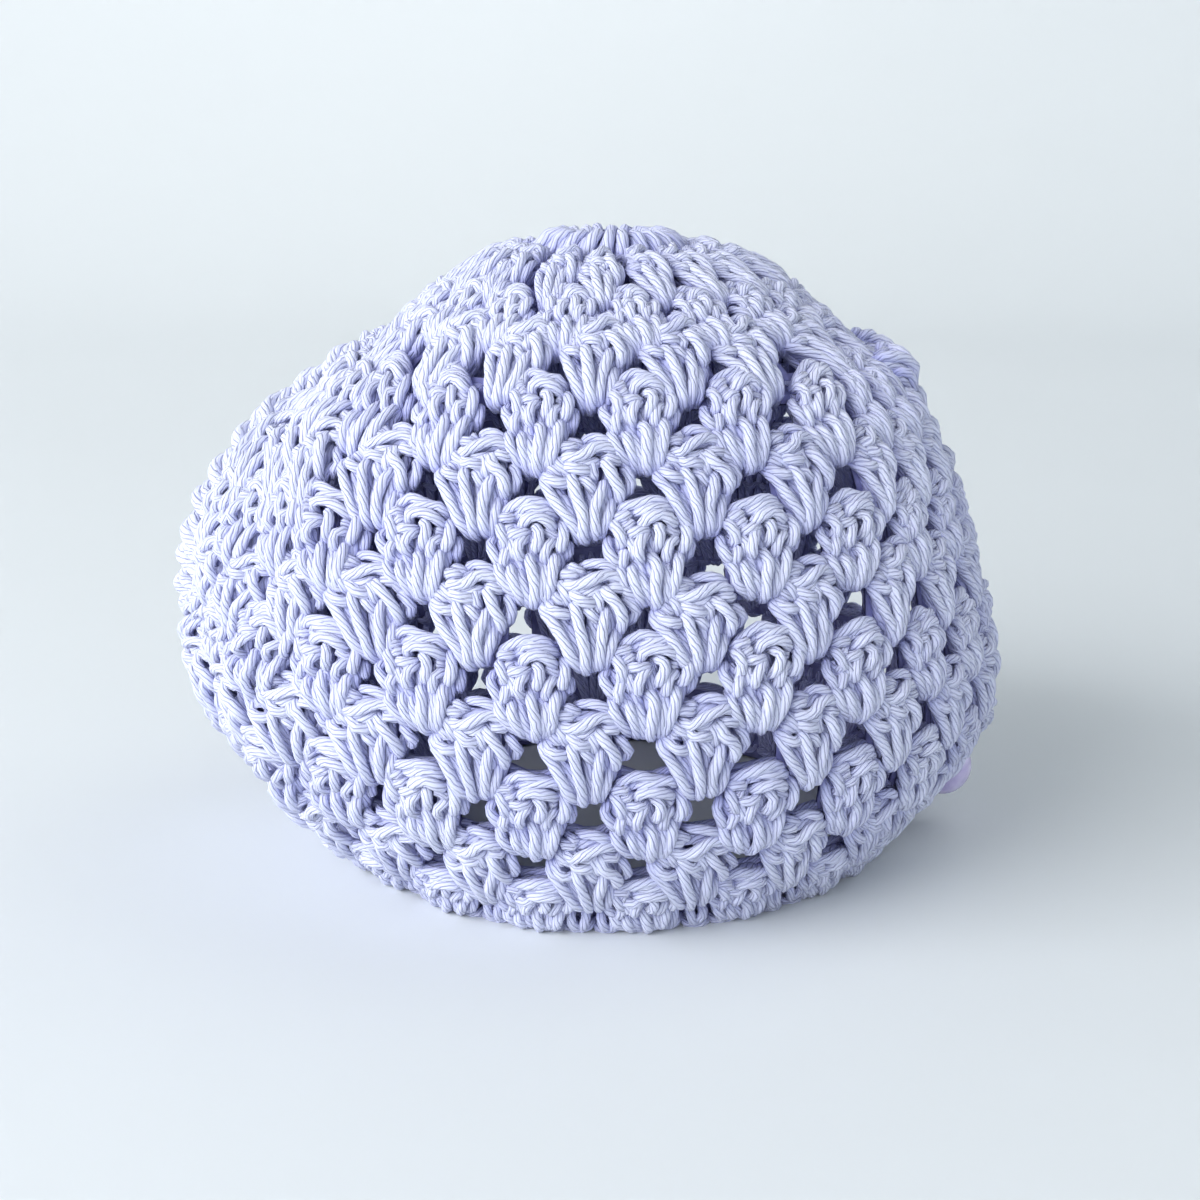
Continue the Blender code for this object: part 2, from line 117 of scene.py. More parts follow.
@dataclass
class Wall:
    """The oval wall in which the cloth hangs, in millimetres.

    A place on it is an arc, the distance round from the front centre towards the handle, a
    height, and a lift off the middle of the cloth.
    """

    centre_line: float = 1.6
    height_step: float = 0.5
    angle_steps: int = 720
    profile: tuple[tuple[float, float, float, float], ...] = (
        # height, reach to the spout, to the handle and to the front
        (0.0, 46.0, 55.0, 54.5),
        (8.0, 55.5, 62.0, 59.5),
        (16.0, 64.5, 69.0, 63.5),
        (27.5, 75.5, 77.5, 67.5),
        (40.0, 80.5, 80.0, 69.5),
        (51.5, 81.5, 78.0, 69.0),
        (62.0, 81.0, 75.5, 66.0),
        (73.0, 78.0, 72.5, 62.0),
        (84.0, 68.4, 68.3, 57.5),
        (95.0, 54.2, 61.2, 51.5),
        (104.0, 41.6, 48.2, 43.5),
        (111.5, 33.2, 38.8, 33.5),
        (116.0, 26.0, 32.8, 25.5),
        (118.2, 20.0, 25.6, 21.0),
        (119.0, 14.9, 18.9, 16.9),
    )

    def __post_init__(self) -> None:
        """Work out the tables that places are read from."""
        levels = np.array(self.profile)
        self.top = levels[-1, 0]
        self.heights = np.arange(0.0, self.top + self.height_step / 2, self.height_step)
        self.reach = smooth_curve(levels[:, 0], levels[:, 1:], self.heights)
        self.slope = np.gradient(self.reach, self.height_step, axis=0)
        angles = np.linspace(0.0, 2 * math.pi, self.angle_steps + 1)
        side = np.where(angles <= math.pi, self.reach[:, 1:2], self.reach[:, 0:1])
        speed = np.hypot(side * np.cos(angles), self.reach[:, 2:3] * np.sin(angles))
        steps = (speed[:, 1:] + speed[:, :-1]) / 2 * np.diff(angles)
        arcs = np.concatenate((np.zeros((len(steps), 1)), np.cumsum(steps, axis=1)), axis=1)
        quarter = self.angle_steps // 4
        self.round = arcs[:, -1]
        self.to_handle = arcs[:, quarter]
        self.to_spout = arcs[:, -quarter - 1] - arcs[:, -1]
        self.shares = np.linspace(0.0, 1.0, 2 * self.angle_steps + 1)
        self.angle_table = np.array([np.interp(self.shares * row[-1], row, angles) for row in arcs])
        rise = np.hypot(np.diff(self.reach[:, 2]), self.height_step)
        self.distances = np.concatenate(([0.0], np.cumsum(rise)))

    def at(self, table: Points, height: Points) -> Points:
        """A table of the wall read at heights."""
        return np.interp(height, self.heights, table)

    def distance(self, height: float) -> float:
        """Distance up the wall at the front, from the hem to a height."""
        return float(np.interp(height, self.heights, self.distances))

    def height_of(self, distance: Points) -> Points:
        """Height at a distance up the wall, straight on past its ends."""
        height = np.interp(distance, self.distances, self.heights)
        return height + np.minimum(distance, 0.0)

    def mirrored(self, arc: Points, height: Points) -> Points:
        """Arcs on the back half that mirror arcs on the front half, across the handle's seam."""
        return 2 * self.at(self.to_handle, height) - arc

    def climb(self, height: float) -> float:
        """Rise in height for each unit of distance up the wall, at the front."""
        return 1.0 / math.hypot(1.0, float(self.at(self.slope[:, 2], height)))

    def angles(self, arc: Points, height: Points) -> Points:
        """Angles round the centre line, from the front, of places on the wall.

        Args:
            arc: Distance round the wall from the front centre, towards the handle.
            height: Height above the hem.

        Returns:
            The angles, in radians.
        """
        column = arc / self.at(self.round, height) % 1.0 * (len(self.shares) - 1)
        row = np.clip(height / self.height_step, 0.0, len(self.heights) - 1.001)
        i, j = row.astype(int), np.minimum(column.astype(int), len(self.shares) - 2)
        down, along = row - i, column - j
        lower = self.angle_table[i, j] * (1 - along) + self.angle_table[i, j + 1] * along
        upper = self.angle_table[i + 1, j] * (1 - along) + self.angle_table[i + 1, j + 1] * along
        return lower * (1 - down) + upper * down

    def place(self, arc: Points, height: Points, lift: Points) -> tuple[Points, Points]:
        """Places on the wall and the directions there.

        Args:
            arc: Distance round the wall from the front centre, towards the handle.
            height: Height above the hem.
            lift: Distance out of the middle of the cloth.

        Returns:
            The points, and for each its directions along, up and out of the wall.
        """
        angle = self.angles(arc, height)
        sine, cosine = np.sin(angle), np.cos(angle)
        handle_side = angle <= math.pi
        reach = [self.at(self.reach[:, k], height) for k in range(3)]
        slope = [self.at(self.slope[:, k], height) for k in range(3)]
        side = np.where(handle_side, reach[1], reach[0])
        side_slope = np.where(handle_side, slope[1], slope[0])
        flat = np.zeros_like(angle)
        along = unit(np.stack((side * cosine, reach[2] * sine, flat), axis=1))
        rising = np.stack((sine * side_slope, -cosine * slope[2], flat + 1.0), axis=1)
        out = unit(np.cross(along, rising))
        up = np.cross(out, along)
        points = np.stack((self.centre_line + side * sine, -reach[2] * cosine, height), axis=1)
        return points + out * lift[:, None], np.stack((along, up, out), axis=1)


def add_piece(name: str, mesh: bpy.types.Mesh, material: bpy.types.Material) -> bpy.types.Object:
    """Put a finished mesh in the scene.

    Args:
        name: Name of the piece.
        mesh: Its mesh, in its place.
        material: Its finish.

    Returns:
        The piece.
    """
    mesh.shade_smooth()
    mesh.materials.append(material)
    made = bpy.data.objects.new(name, mesh)
    bpy.context.scene.collection.objects.link(made)
    return made


def add_shape(name: str, bm: bmesh.types.BMesh, material: bpy.types.Material) -> bpy.types.Object:
    """Put a finished bmesh in metres in the scene.

    Args:
        name: Name of the piece.
        bm: Its shape, which is used up.
        material: Its finish.

    Returns:
        The piece.
    """
    mesh = bpy.data.meshes.new(name)
    bm.to_mesh(mesh)
    bm.free()
    return add_piece(name, mesh, material)


def solid_piece(name: str, bm: bmesh.types.BMesh, material: bpy.types.Material) -> bpy.types.Object:
    """Turn a closed bmesh in millimetres into a piece.

    Args:
        name: Name of the piece.
        bm: The solid, which is used up.
        material: Its finish.

    Returns:
        The piece.
    """
    bmesh.ops.scale(bm, vec=(MM, MM, MM), verts=bm.verts)
    bmesh.ops.recalc_face_normals(bm, faces=bm.faces)
    return add_shape(name, bm, material)


def sheet_piece(name: str, bm: bmesh.types.BMesh, material: bpy.types.Material,
                thickness: float) -> bpy.types.Object:
    """Turn an open bmesh in millimetres into a thin sheet.

    Args:
        name: Name of the piece.
        bm: The sheet's middle, which is used up.
        material: Its finish.
        thickness: Its thickness, towards the inside.

    Returns:
        The piece.
    """
    bmesh.ops.scale(bm, vec=(MM, MM, MM), verts=bm.verts)
    bmesh.ops.recalc_face_normals(bm, faces=bm.faces)
    bm.faces.ensure_lookup_table()
    outward = sum(face.normal.dot(face.calc_center_median() * Vector((1, 1, 0))) for face in bm.faces)
    if outward < 0:
        bmesh.ops.reverse_faces(bm, faces=bm.faces)
    made = add_shape(name, bm, material)
    solid = made.modifiers.new("thickness", "SOLIDIFY")
    solid.thickness = thickness * MM
    solid.offset = -1.0
    return made


def turn_round(bm: bmesh.types.BMesh, geom: list, steps: int, merge: float) -> None:
    """Spin an outline round the Z axis and join where it meets itself.

    Args:
        bm: The bmesh that holds it.
        geom: The outline's vertices and edges.
        steps: Faces round.
        merge: Distance under which points become one.
    """
    bmesh.ops.spin(bm, geom=geom, axis=(0, 0, 1), cent=(0, 0, 0), angle=2 * math.pi,
                   steps=steps, use_merge=True)
    bmesh.ops.remove_doubles(bm, verts=bm.verts, dist=merge)


def turned_shape(outline: Sequence[tuple[float, float]], steps: int, merge: float) -> bmesh.types.BMesh:
    """Make a round shape from half its outline.

    Args:
        outline: Distance from the axis and height of each point.
        steps: Faces round.
        merge: Distance under which points become one.

    Returns:
        The shape.
    """
    bm = bmesh.new()
    verts = [bm.verts.new((x, 0.0, z)) for x, z in outline]
    edges = [bm.edges.new(pair) for pair in zip(verts, verts[1:])]
    turn_round(bm, verts + edges, steps, merge)
    return bm


# --- Yarn and stitches -------------------------------------------------------------------

@dataclass(frozen=True)
class Strand:
    """A stretch of yarn: points across, up and out of the cloth, and its thickness."""

    route: tuple[Place, ...]
    thickness: float = 2.2
    plain: bool = False             # lies inside, so it has fewer faces


@dataclass
class Template:
    """A stitch's mesh: for each vertex the place on a strand's middle and the way out from it."""

    centres: Points
    offsets: Points
    corners: Points
    sizes: Points
    uvs: Points

    @staticmethod
    def joined(parts: Sequence[Template]) -> Template:
        """One template that holds several.

        Args:
            parts: Templates to join.

        Returns:
            The joined template.
        """
        starts = np.cumsum([0] + [len(part.centres) for part in parts[:-1]])
        return Template(
            centres=np.concatenate([part.centres for part in parts]),
            offsets=np.concatenate([part.offsets for part in parts]),
            corners=np.concatenate([part.corners + start for part, start in zip(parts, starts)]),
            sizes=np.concatenate([part.sizes for part in parts]),
            uvs=np.concatenate([part.uvs for part in parts]),
        )


@dataclass(frozen=True)
class YarnShape:
    """How a strand is rolled: its faces, its twist and its unevenness."""

    sides: int = 8
    step: float = 1.2               # distance between rings of vertices
    plain_sides: int = 5
    plain_step: float = 2.6
    route_steps: int = 12           # steps of the smooth route for each point given
    turn: float = 14.0              # length of yarn in which the plies go round once
    tip: float = 0.3                # length over which an end rounds off
    tip_share: float = 0.72         # radius of the ring next to an end
    dive: float = 1.3               # how far an end sinks into the cloth
    dive_length: float = 1.8        # length over which it does
    swell: float = 0.06             # of the radius, thicker and thinner by turns
    swell_rate: float = 1.3
    plump: float = 0.88             # factor on every strand's thickness
    spread: float = 0.06            # of the thickness from strand to strand
    seam_side: Place = (0.35, 0.2, 1.0)     # where the first side of a strand looks
    merge: float = 1e-4

    def rings(self, length: float, plain: bool) -> Points:
        """Distances along a strand at which it has rings of vertices.

        Args:
            length: Length of the strand.
            plain: Whether it lies inside.

        Returns:
            The distances.
        """
        step = self.plain_step if plain else self.step
        inner = np.linspace(self.tip, length - self.tip, max(3, round(length / step)))
        return np.concatenate(([0.0], inner, [length]))

    def map_place(self, along: float, around: float) -> tuple[float, float]:
        """Place on the yarn's map: centimetres along, and turns round, where the plies stand still."""
        return along / 10, around + along / self.turn

    def path(self, strand: Strand) -> tuple[Points, Points]:
        """Smooth a strand's route and cut it into rings.

        Args:
            strand: The stretch of yarn.

        Returns:
            The distance along the strand of each ring, and its middle.
        """
        points = np.array(strand.route)
        chords = running_length(points)
        fine_at = np.linspace(0.0, chords[-1], self.route_steps * len(points))
        fine = smooth_curve(chords, points, fine_at)
        lengths = running_length(fine)
        rings = self.rings(lengths[-1], strand.plain)
        path = np.stack([np.interp(rings, lengths, fine[:, k]) for k in range(3)], axis=1)
        if not strand.plain:
            to_end = np.minimum(rings, lengths[-1] - rings)
            path[:, 2] -= self.dive * np.clip(1 - to_end / self.dive_length, 0.0, 1.0) ** 2
        return rings, path

    def radii(self, strand: Strand, rings: Points) -> Points:
        """Radius of each ring of a strand.

        Args:
            strand: The stretch of yarn.
            rings: Distances along it of its rings.

        Returns:
            The radii, with closed ends.
        """
        swell = self.swell * np.sin(rings * self.swell_rate + rings[-1])
        radii = self.plump * strand.thickness / 2 * (1 + swell)
        radii[0] = radii[-1] = 0.0
        radii[1] *= self.tip_share
        radii[-2] *= self.tip_share
        return radii

    def roll(self, strand: Strand) -> Template:
        """Roll a grid into a closed, plied tube along a strand.

        Args:
            strand: The stretch of yarn.

        Returns:
            Its mesh as a template.
        """
        rings, path = self.path(strand)
        radii = self.radii(strand, rings)
        sides = self.plain_sides if strand.plain else self.sides
        heading = unit(np.gradient(path, rings, axis=0))
        first = [unit(np.cross(heading[0], self.seam_side))]
        for ahead in heading[1:]:
            first.append(unit(first[-1] - ahead * (first[-1] @ ahead)))
        second = np.cross(heading, first)
        bm = bmesh.new()
        uv = bm.loops.layers.uv.new("UVMap")
        last = len(rings) - 1
        bmesh.ops.create_grid(bm, x_segments=last, y_segments=sides, size=1.0, calc_uvs=True)
        centre_of = bm.verts.layers.float_vector.new("centre")
        offset_of = bm.verts.layers.float_vector.new("offset")
        for vert in bm.verts:
            ring = round((vert.co.x + 1) / 2 * last)
            side = round((vert.co.y + 1) / 2 * sides) % sides
            angle = 2 * math.pi * side / sides
            offset = radii[ring] * (math.cos(angle) * first[ring] + math.sin(angle) * second[ring])
            vert[centre_of] = path[ring]
            vert[offset_of] = offset
            vert.co = path[ring] + offset
        bmesh.ops.remove_doubles(bm, verts=bm.verts, dist=self.merge)
        bmesh.ops.recalc_face_normals(bm, faces=bm.faces)
        bm.verts.index_update()
        made = Template(
            centres=np.array([vert[centre_of] for vert in bm.verts]),
            offsets=np.array([vert[offset_of] for vert in bm.verts]),
            corners=np.array([loop.vert.index for face in bm.faces for loop in face.loops]),
            sizes=np.array([len(face.loops) for face in bm.faces]),
            uvs=np.array([self.map_place(rings[round(loop[uv].uv.x * last)], loop[uv].uv.y)
                          for face in bm.faces for loop in face.loops]),
        )
        bm.free()
        return made


YARN = YarnShape()


@dataclass(frozen=True)
class Stitch:
    """A kind of stitch, as the strands that make it."""

    strands: tuple[Strand, ...]
    height: float                   # from its foot to its top

    def variants(self, seed: int, count: int = 3, wander: float = 0.22,
                 slim: float = 1.0) -> list[Template]:
        """Slightly different templates of the stitch.

        Args:
            seed: Seed of the differences.
            count: How many to make.
            wander: How far a strand's points stray, in millimetres, and half as far out of the cloth.
            slim: Factor on the yarn's thickness.

        Returns:
            The templates.
        """
        random = np.random.default_rng(seed)
        made = []
        for _ in range(count):
            rolled = []
            for strand in self.strands:
                points = np.array(strand.route)
                points = points + random.normal(0.0, wander, points.shape) * (1.0, 1.0, 0.5)
                thickness = strand.thickness * slim * random.uniform(1 - YARN.spread, 1 + YARN.spread)
                route = tuple(map(tuple, points))
                rolled.append(YARN.roll(Strand(route, thickness, strand.plain)))
            made.append(Template.joined(rolled))
        return made


# Strands of the inner face of a cluster, alike for both kinds
INNER_FACE = (
    Strand(((-5.6, 15.2, -0.7), (-4.4, 9.0, -1.5), (-2.0, 0.8, -0.8)), 2.5, True),
    Strand(((-2.7, 15.6, -0.8), (-2.2, 9.0, -1.6), (-0.9, 0.5, -0.9)), 2.4, True),
    Strand(((0.3, 15.8, -0.8), (0.2, 9.0, -1.7), (0.1, 0.3, -0.9)), 2.5, True),
    Strand(((3.0, 15.6, -0.8), (2.4, 9.0, -1.6), (1.1, 0.5, -0.9)), 2.4, True),
    Strand(((5.7, 15.0, -0.7), (4.5, 9.0, -1.5), (2.2, 0.8, -0.8)), 2.5, True),
    Strand(((-6.6, 12.4, -1.6), (-4.5, 11.4, -2.4), (-2.4, 12.5, -1.8)), 2.2, True),
    Strand(((-2.1, 12.6, -1.8), (0.0, 11.5, -2.5), (2.1, 12.6, -1.8)), 2.2, True),
    Strand(((2.4, 12.5, -1.8), (4.5, 11.4, -2.4), (6.6, 12.4, -1.6)), 2.2, True),
    Strand(((-7.2, 16.6, -0.6), (-3.6, 17.6, -1.7), (0.0, 17.0, -1.2), (3.6, 17.7, -1.7),
            (7.2, 16.6, -0.6)), 2.3, True),
    Strand(((-6.0, 12.5, 0.0), (-4.0, 6.4, 0.6), (-1.5, 0.8, -0.2)), 3.2, True),
    Strand(((-2.8, 14.4, 0.4), (-1.9, 7.4, 0.8), (-0.6, 0.7, 0.0)), 3.3, True),
    Strand(((0.5, 14.8, 0.4), (0.4, 7.4, 0.8), (0.3, 0.6, 0.0)), 3.3, True),
    Strand(((3.6, 14.0, 0.4), (2.8, 7.4, 0.8), (1.4, 0.7, 0.0)), 3.3, True),
    Strand(((6.0, 12.2, 0.0), (4.6, 7.0, 0.5), (2.4, 1.4, -0.2)), 3.0, True),
    Strand(((-5.2, 15.6, 0.2), (-1.6, 16.6, 0.7), (1.6, 16.8, 0.7), (5.0, 15.4, 0.2)), 3.3, True),
)

# A cluster of three trebles seen from the side it was worked on
RIGHT_SIDE = Stitch(INNER_FACE + (
    Strand(((-2.3, 18.2, 0.9), (0.3, 18.9, 1.6), (2.9, 18.4, 1.6), (4.9, 16.9, 0.8)), 2.2),
    Strand(((-4.9, 18.0, 0.9), (-2.8, 17.9, 1.8), (-1.2, 16.7, 1.3)), 2.2),
    Strand(((-5.8, 16.4, 1.0), (-3.8, 17.1, 2.2), (-1.8, 16.4, 1.6)), 2.2),
    Strand(((-5.2, 15.7, 1.2), (-3.2, 14.9, 2.8), (-1.2, 15.5, 3.1), (0.9, 16.5, 3.0), (2.5, 17.0, 2.5),
            (4.0, 16.6, 1.9), (5.4, 15.4, 0.9)), 2.4),
    Strand(((2.0, 15.3, 1.4), (3.8, 14.6, 2.4), (6.2, 14.9, 1.2)), 2.3),
    Strand(((-6.1, 15.8, 0.7), (-5.2, 14.4, 2.1), (-4.1, 12.8, 2.0), (-3.5, 11.2, 0.8)), 2.3),
    Strand(((-7.1, 14.0, 0.7), (-5.8, 12.8, 2.0), (-4.2, 11.6, 1.2)), 2.2),
    Strand(((-7.6, 12.9, 0.2), (-6.5, 11.0, 2.2), (-5.0, 10.2, 2.6), (-2.9, 10.2, 1.5)), 2.3),
    Strand(((-7.7, 13.2, -0.3), (-7.5, 10.2, 1.4), (-6.1, 8.1, 2.1), (-4.4, 5.5, 2.4), (-2.9, 3.0, 2.2),
            (-1.9, 0.6, 0.9), (-1.6, 0.0, -0.6)), 2.4),
    Strand(((-3.2, 12.8, 0.6), (-2.4, 10.2, 2.6), (-1.6, 7.1, 3.0), (-0.9, 3.8, 2.8), (-0.2, 0.4, 1.3),
            (0.0, -0.2, -0.4)), 2.5),
    Strand(((-4.1, 8.6, 0.6), (-3.0, 5.7, 1.3), (-2.1, 2.6, 1.2), (-1.8, 0.6, 0.0)), 2.3),
    Strand(((-3.8, 15.0, 0.9), (-0.9, 14.0, 2.1), (2.2, 14.8, 1.4)), 2.4),
    Strand(((-4.3, 14.3, 1.2), (-2.6, 12.9, 2.9), (-0.9, 12.3, 3.1), (0.9, 12.0, 1.9)), 2.4),
    Strand(((-1.8, 12.0, 0.8), (0.0, 10.2, 2.4), (1.5, 8.3, 1.4)), 2.3),
    Strand(((-0.2, 14.6, 1.0), (1.2, 12.9, 2.6), (1.3, 10.4, 1.3)), 2.3),
    Strand(((1.6, 15.0, 1.6), (2.9, 13.0, 3.1), (4.5, 11.0, 3.0), (5.2, 9.1, 2.3), (4.8, 6.8, 0.9)), 2.5),
    Strand(((5.0, 13.7, 0.5), (6.7, 12.2, 1.6), (6.9, 10.3, 1.4), (5.8, 8.2, 0.2)), 2.3),
    Strand(((2.8, 11.6, 1.0), (2.3, 8.6, 2.5), (1.8, 5.4, 2.6), (1.4, 1.4, 1.5), (1.3, 0.2, -0.4)), 2.4),
    Strand(((0.0, 8.4, 0.6), (0.3, 5.2, 1.5), (0.7, 1.4, 0.9), (0.7, 0.2, -0.4)), 2.3),
    Strand(((4.0, 8.0, 0.7), (3.5, 4.9, 1.9), (2.8, 1.6, 1.1), (2.6, 0.5, -0.5)), 2.3),
), 19.0)

# The same cluster seen from behind, with its caps, hooks and bars
WRONG_SIDE = Stitch(INNER_FACE + (
    Strand(((-6.0, 15.9, 0.2), (-3.8, 17.6, 1.5), (-1.5, 18.4, 2.0), (0.7, 18.5, 2.0), (2.9, 17.8, 1.5),
            (4.6, 16.2, 0.3)), 2.3),
    Strand(((-2.6, 15.8, 0.9), (-0.4, 16.9, 2.1), (1.5, 17.3, 2.3), (3.6, 16.8, 1.8),
            (4.9, 15.6, 0.7)), 2.2),
    Strand(((-1.4, 13.6, 0.9), (-0.8, 15.1, 2.7), (0.7, 15.8, 3.2), (2.4, 15.6, 3.1), (3.8, 14.9, 2.4),
            (4.5, 13.8, 0.9)), 2.4),
    Strand(((-6.2, 15.4, 0.6), (-4.3, 15.6, 2.2), (-2.2, 16.1, 1.2)), 2.2),
    Strand(((-4.6, 12.9, 0.8), (-3.8, 14.4, 2.3), (-2.2, 14.7, 1.6)), 2.2),
    Strand(((-6.2, 15.3, 0.7), (-5.4, 13.3, 2.3), (-4.6, 11.4, 2.5), (-5.0, 10.0, 1.3)), 2.4),
    Strand(((-6.4, 13.0, -0.3), (-7.5, 10.7, 1.2), (-6.6, 8.6, 1.9), (-5.4, 6.7, 1.6)), 2.3),
    Strand(((-4.0, 12.4, 1.2), (-1.9, 12.9, 2.7), (0.3, 13.2, 1.6)), 2.2),
    Strand(((0.2, 12.9, 1.2), (-1.4, 11.4, 2.9), (-1.9, 9.7, 2.9), (-1.2, 7.5, 1.3)), 2.4),
    Strand(((0.7, 14.6, 1.6), (1.8, 12.9, 3.2), (1.9, 11.2, 3.1), (0.8, 9.5, 1.7)), 2.4),
    Strand(((2.5, 13.8, 0.9), (3.9, 12.8, 2.0), (5.3, 12.4, 0.9)), 2.2),
    Strand(((5.0, 11.8, 1.1), (3.3, 10.9, 2.7), (2.7, 9.3, 2.6), (2.8, 7.5, 1.2)), 2.3),
    Strand(((5.5, 15.6, 0.4), (6.3, 12.9, 2.2), (6.0, 10.8, 2.5), (4.8, 9.3, 1.4)), 2.4),
    Strand(((6.4, 12.8, -0.3), (7.1, 10.3, 0.9), (6.3, 7.8, 0.3)), 2.3),
    Strand(((-4.0, 12.0, 1.0), (-2.9, 10.3, 2.4), (-3.2, 8.0, 1.1)), 2.3),
    Strand(((-3.7, 10.4, 1.1), (-4.7, 8.6, 2.5), (-5.2, 6.1, 1.5)), 2.3),
    Strand(((-6.3, 7.8, 0.7), (-5.4, 5.1, 2.2), (-4.2, 2.9, 2.1), (-2.6, 0.9, 0.9), (-2.2, 0.2, -0.6)), 2.4),
    Strand(((-3.4, 7.6, 0.9), (-2.9, 4.7, 2.6), (-1.7, 0.9, 1.2), (-1.5, 0.0, -0.5)), 2.3),
    Strand(((-2.3, 7.2, 0.6), (-1.2, 3.8, 2.1), (-0.7, 0.5, 0.9), (-0.6, -0.1, -0.5)), 2.3),
    Strand(((-0.3, 9.5, 0.8), (0.4, 6.5, 2.8), (0.7, 3.6, 3.0), (0.7, 0.3, 1.3), (0.7, -0.3, -0.5)), 2.5),
    Strand(((1.4, 8.6, 0.7), (2.1, 5.1, 1.8), (1.7, 1.6, 0.8)), 2.3),
    Strand(((2.9, 7.8, 0.8), (2.5, 3.8, 2.4), (2.0, 0.7, 1.0), (1.9, 0.0, -0.5)), 2.3),
    Strand(((4.4, 9.8, 1.1), (4.3, 6.5, 2.7), (3.6, 3.1, 2.3), (2.8, 0.7, 0.9), (2.6, 0.2, -0.5)), 2.4),
), 19.0)

# One stitch of an edge: up is along the edge, and across is towards its rim
EDGE_STITCH = Stitch((
    Strand(((-4.6, 3.6, 0.6), (-2.6, 2.8, 2.0), (-0.2, 1.8, 3.4), (2.2, 0.4, 5.0), (3.8, -0.8, 5.2),
            (4.4, -1.6, 3.4), (3.6, -2.2, 1.4)), 3.3),
    Strand(((-4.2, 0.8, 0.4), (-2.2, 0.2, 1.8), (0.2, -0.8, 3.0), (2.4, -2.0, 4.2), (3.6, -3.0, 4.0),
            (3.9, -3.6, 2.2), (3.2, -4.0, 0.6)), 3.1),
    Strand(((-3.6, -2.4, 0.4), (-1.6, -1.4, 1.7), (0.6, 1.0, 1.9), (2.0, 2.6, 1.6)), 2.3),
    Strand(((-3.2, 1.8, -0.6), (0.0, 0.4, -0.2), (3.0, -1.0, 1.8)), 3.0, True),
    Strand(((-3.2, -1.2, -0.6), (0.0, -2.6, -0.2), (3.0, -4.0, 1.6)), 3.0, True),
), 6.0)

# One stitch of a band: two broad legs that meet, with a loop round the rim
BAND_STITCH = Stitch((
    Strand(((-4.6, 2.6, 0.4), (-3.0, 1.2, 2.0), (-0.9, -0.6, 2.8), (0.8, -2.2, 2.2), (1.4, -3.4, 0.6)), 2.7),
    Strand(((4.9, 2.2, 0.2), (3.6, 1.4, 2.2), (1.8, 0.0, 2.9), (0.4, -1.6, 2.2), (-0.4, -3.0, 0.6)), 2.7),
    Strand(((-4.7, -0.4, 0.2), (-3.0, -1.4, 1.6), (-1.0, -3.2, 1.9), (0.6, -4.4, 0.8)), 2.4),
    Strand(((1.4, 2.6, 0.8), (3.2, 3.0, 1.9), (4.9, 1.6, 1.4), (5.4, -0.2, -0.6)), 2.4),
    Strand(((-1.8, 3.0, 0.6), (0.0, 1.8, 1.8), (1.8, 2.4, 1.4)), 2.2),
    Strand(((-4.6, 0.6, -0.8), (0.0, -0.6, -1.6), (4.6, 0.6, -0.8)), 2.6, True),
    Strand(((-4.6, -2.4, -0.8), (0.0, -3.4, -1.6), (4.6, -2.4, -0.8)), 2.6, True),
), 6.0)

# One stitch of the hem: two legs and the edge of chain that rests on the table
HEM_STITCH = Stitch((
    Strand(((-1.6, 7.0, 0.6), (-1.3, 4.6, 1.8), (-0.4, 2.2, 1.8), (0.6, 0.9, 0.4)), 2.3),
    Strand(((1.2, 7.2, 0.4), (0.9, 4.8, 1.7), (0.5, 2.6, 1.7), (-0.4, 1.1, 0.2)), 2.2),
    Strand(((-2.9, 1.5, 0.6), (-1.2, 0.9, 1.9), (1.0, 1.5, 1.9), (2.7, 2.0, 0.4)), 2.2),
    Strand(((-2.5, 2.3, -0.4), (-0.6, 1.0, -1.2), (1.6, 1.2, -1.4), (3.1, 1.9, -0.4)), 2.3),
    Strand(((-1.2, 7.0, -0.7), (-0.8, 4.0, -1.4), (0.4, 1.6, -0.8)), 2.4, True),
    Strand(((1.5, 7.0, -0.7), (1.6, 4.0, -1.4), (2.2, 1.6, -0.8)), 2.4, True),
), 7.0)

# One stitch of the collar: up is over its roll, from the outer foot towards the hole
COLLAR_STITCH = Stitch((
    Strand(((-1.5, 2.0, 0.6), (-1.0, 4.2, 1.3), (-0.3, 6.6, 1.7), (0.5, 9.0, 1.2), (0.9, 12.4, 0.4)), 2.7),
    Strand(((0.9, 1.2, 0.2), (1.1, 4.0, 0.5), (1.6, 6.8, 0.8), (2.4, 9.6, 0.4), (2.8, 13.2, 0.0)), 2.2),
    Strand(((-2.4, 3.6, 0.0), (-1.4, 2.6, 0.9), (0.4, 2.3, 1.2), (2.1, 3.4, 0.2)), 2.1),
    Strand(((-1.9, 9.7, 0.0), (-0.2, 8.7, 1.0), (1.6, 9.7, 0.6), (2.7, 11.0, 0.0)), 2.0),
), 14.0)


@dataclass
class Copy:
    """One laid copy of a template: its vertices in metres, and the shape it was made from."""

    template: Template
    points: Points
    depths: Points
    tint: float


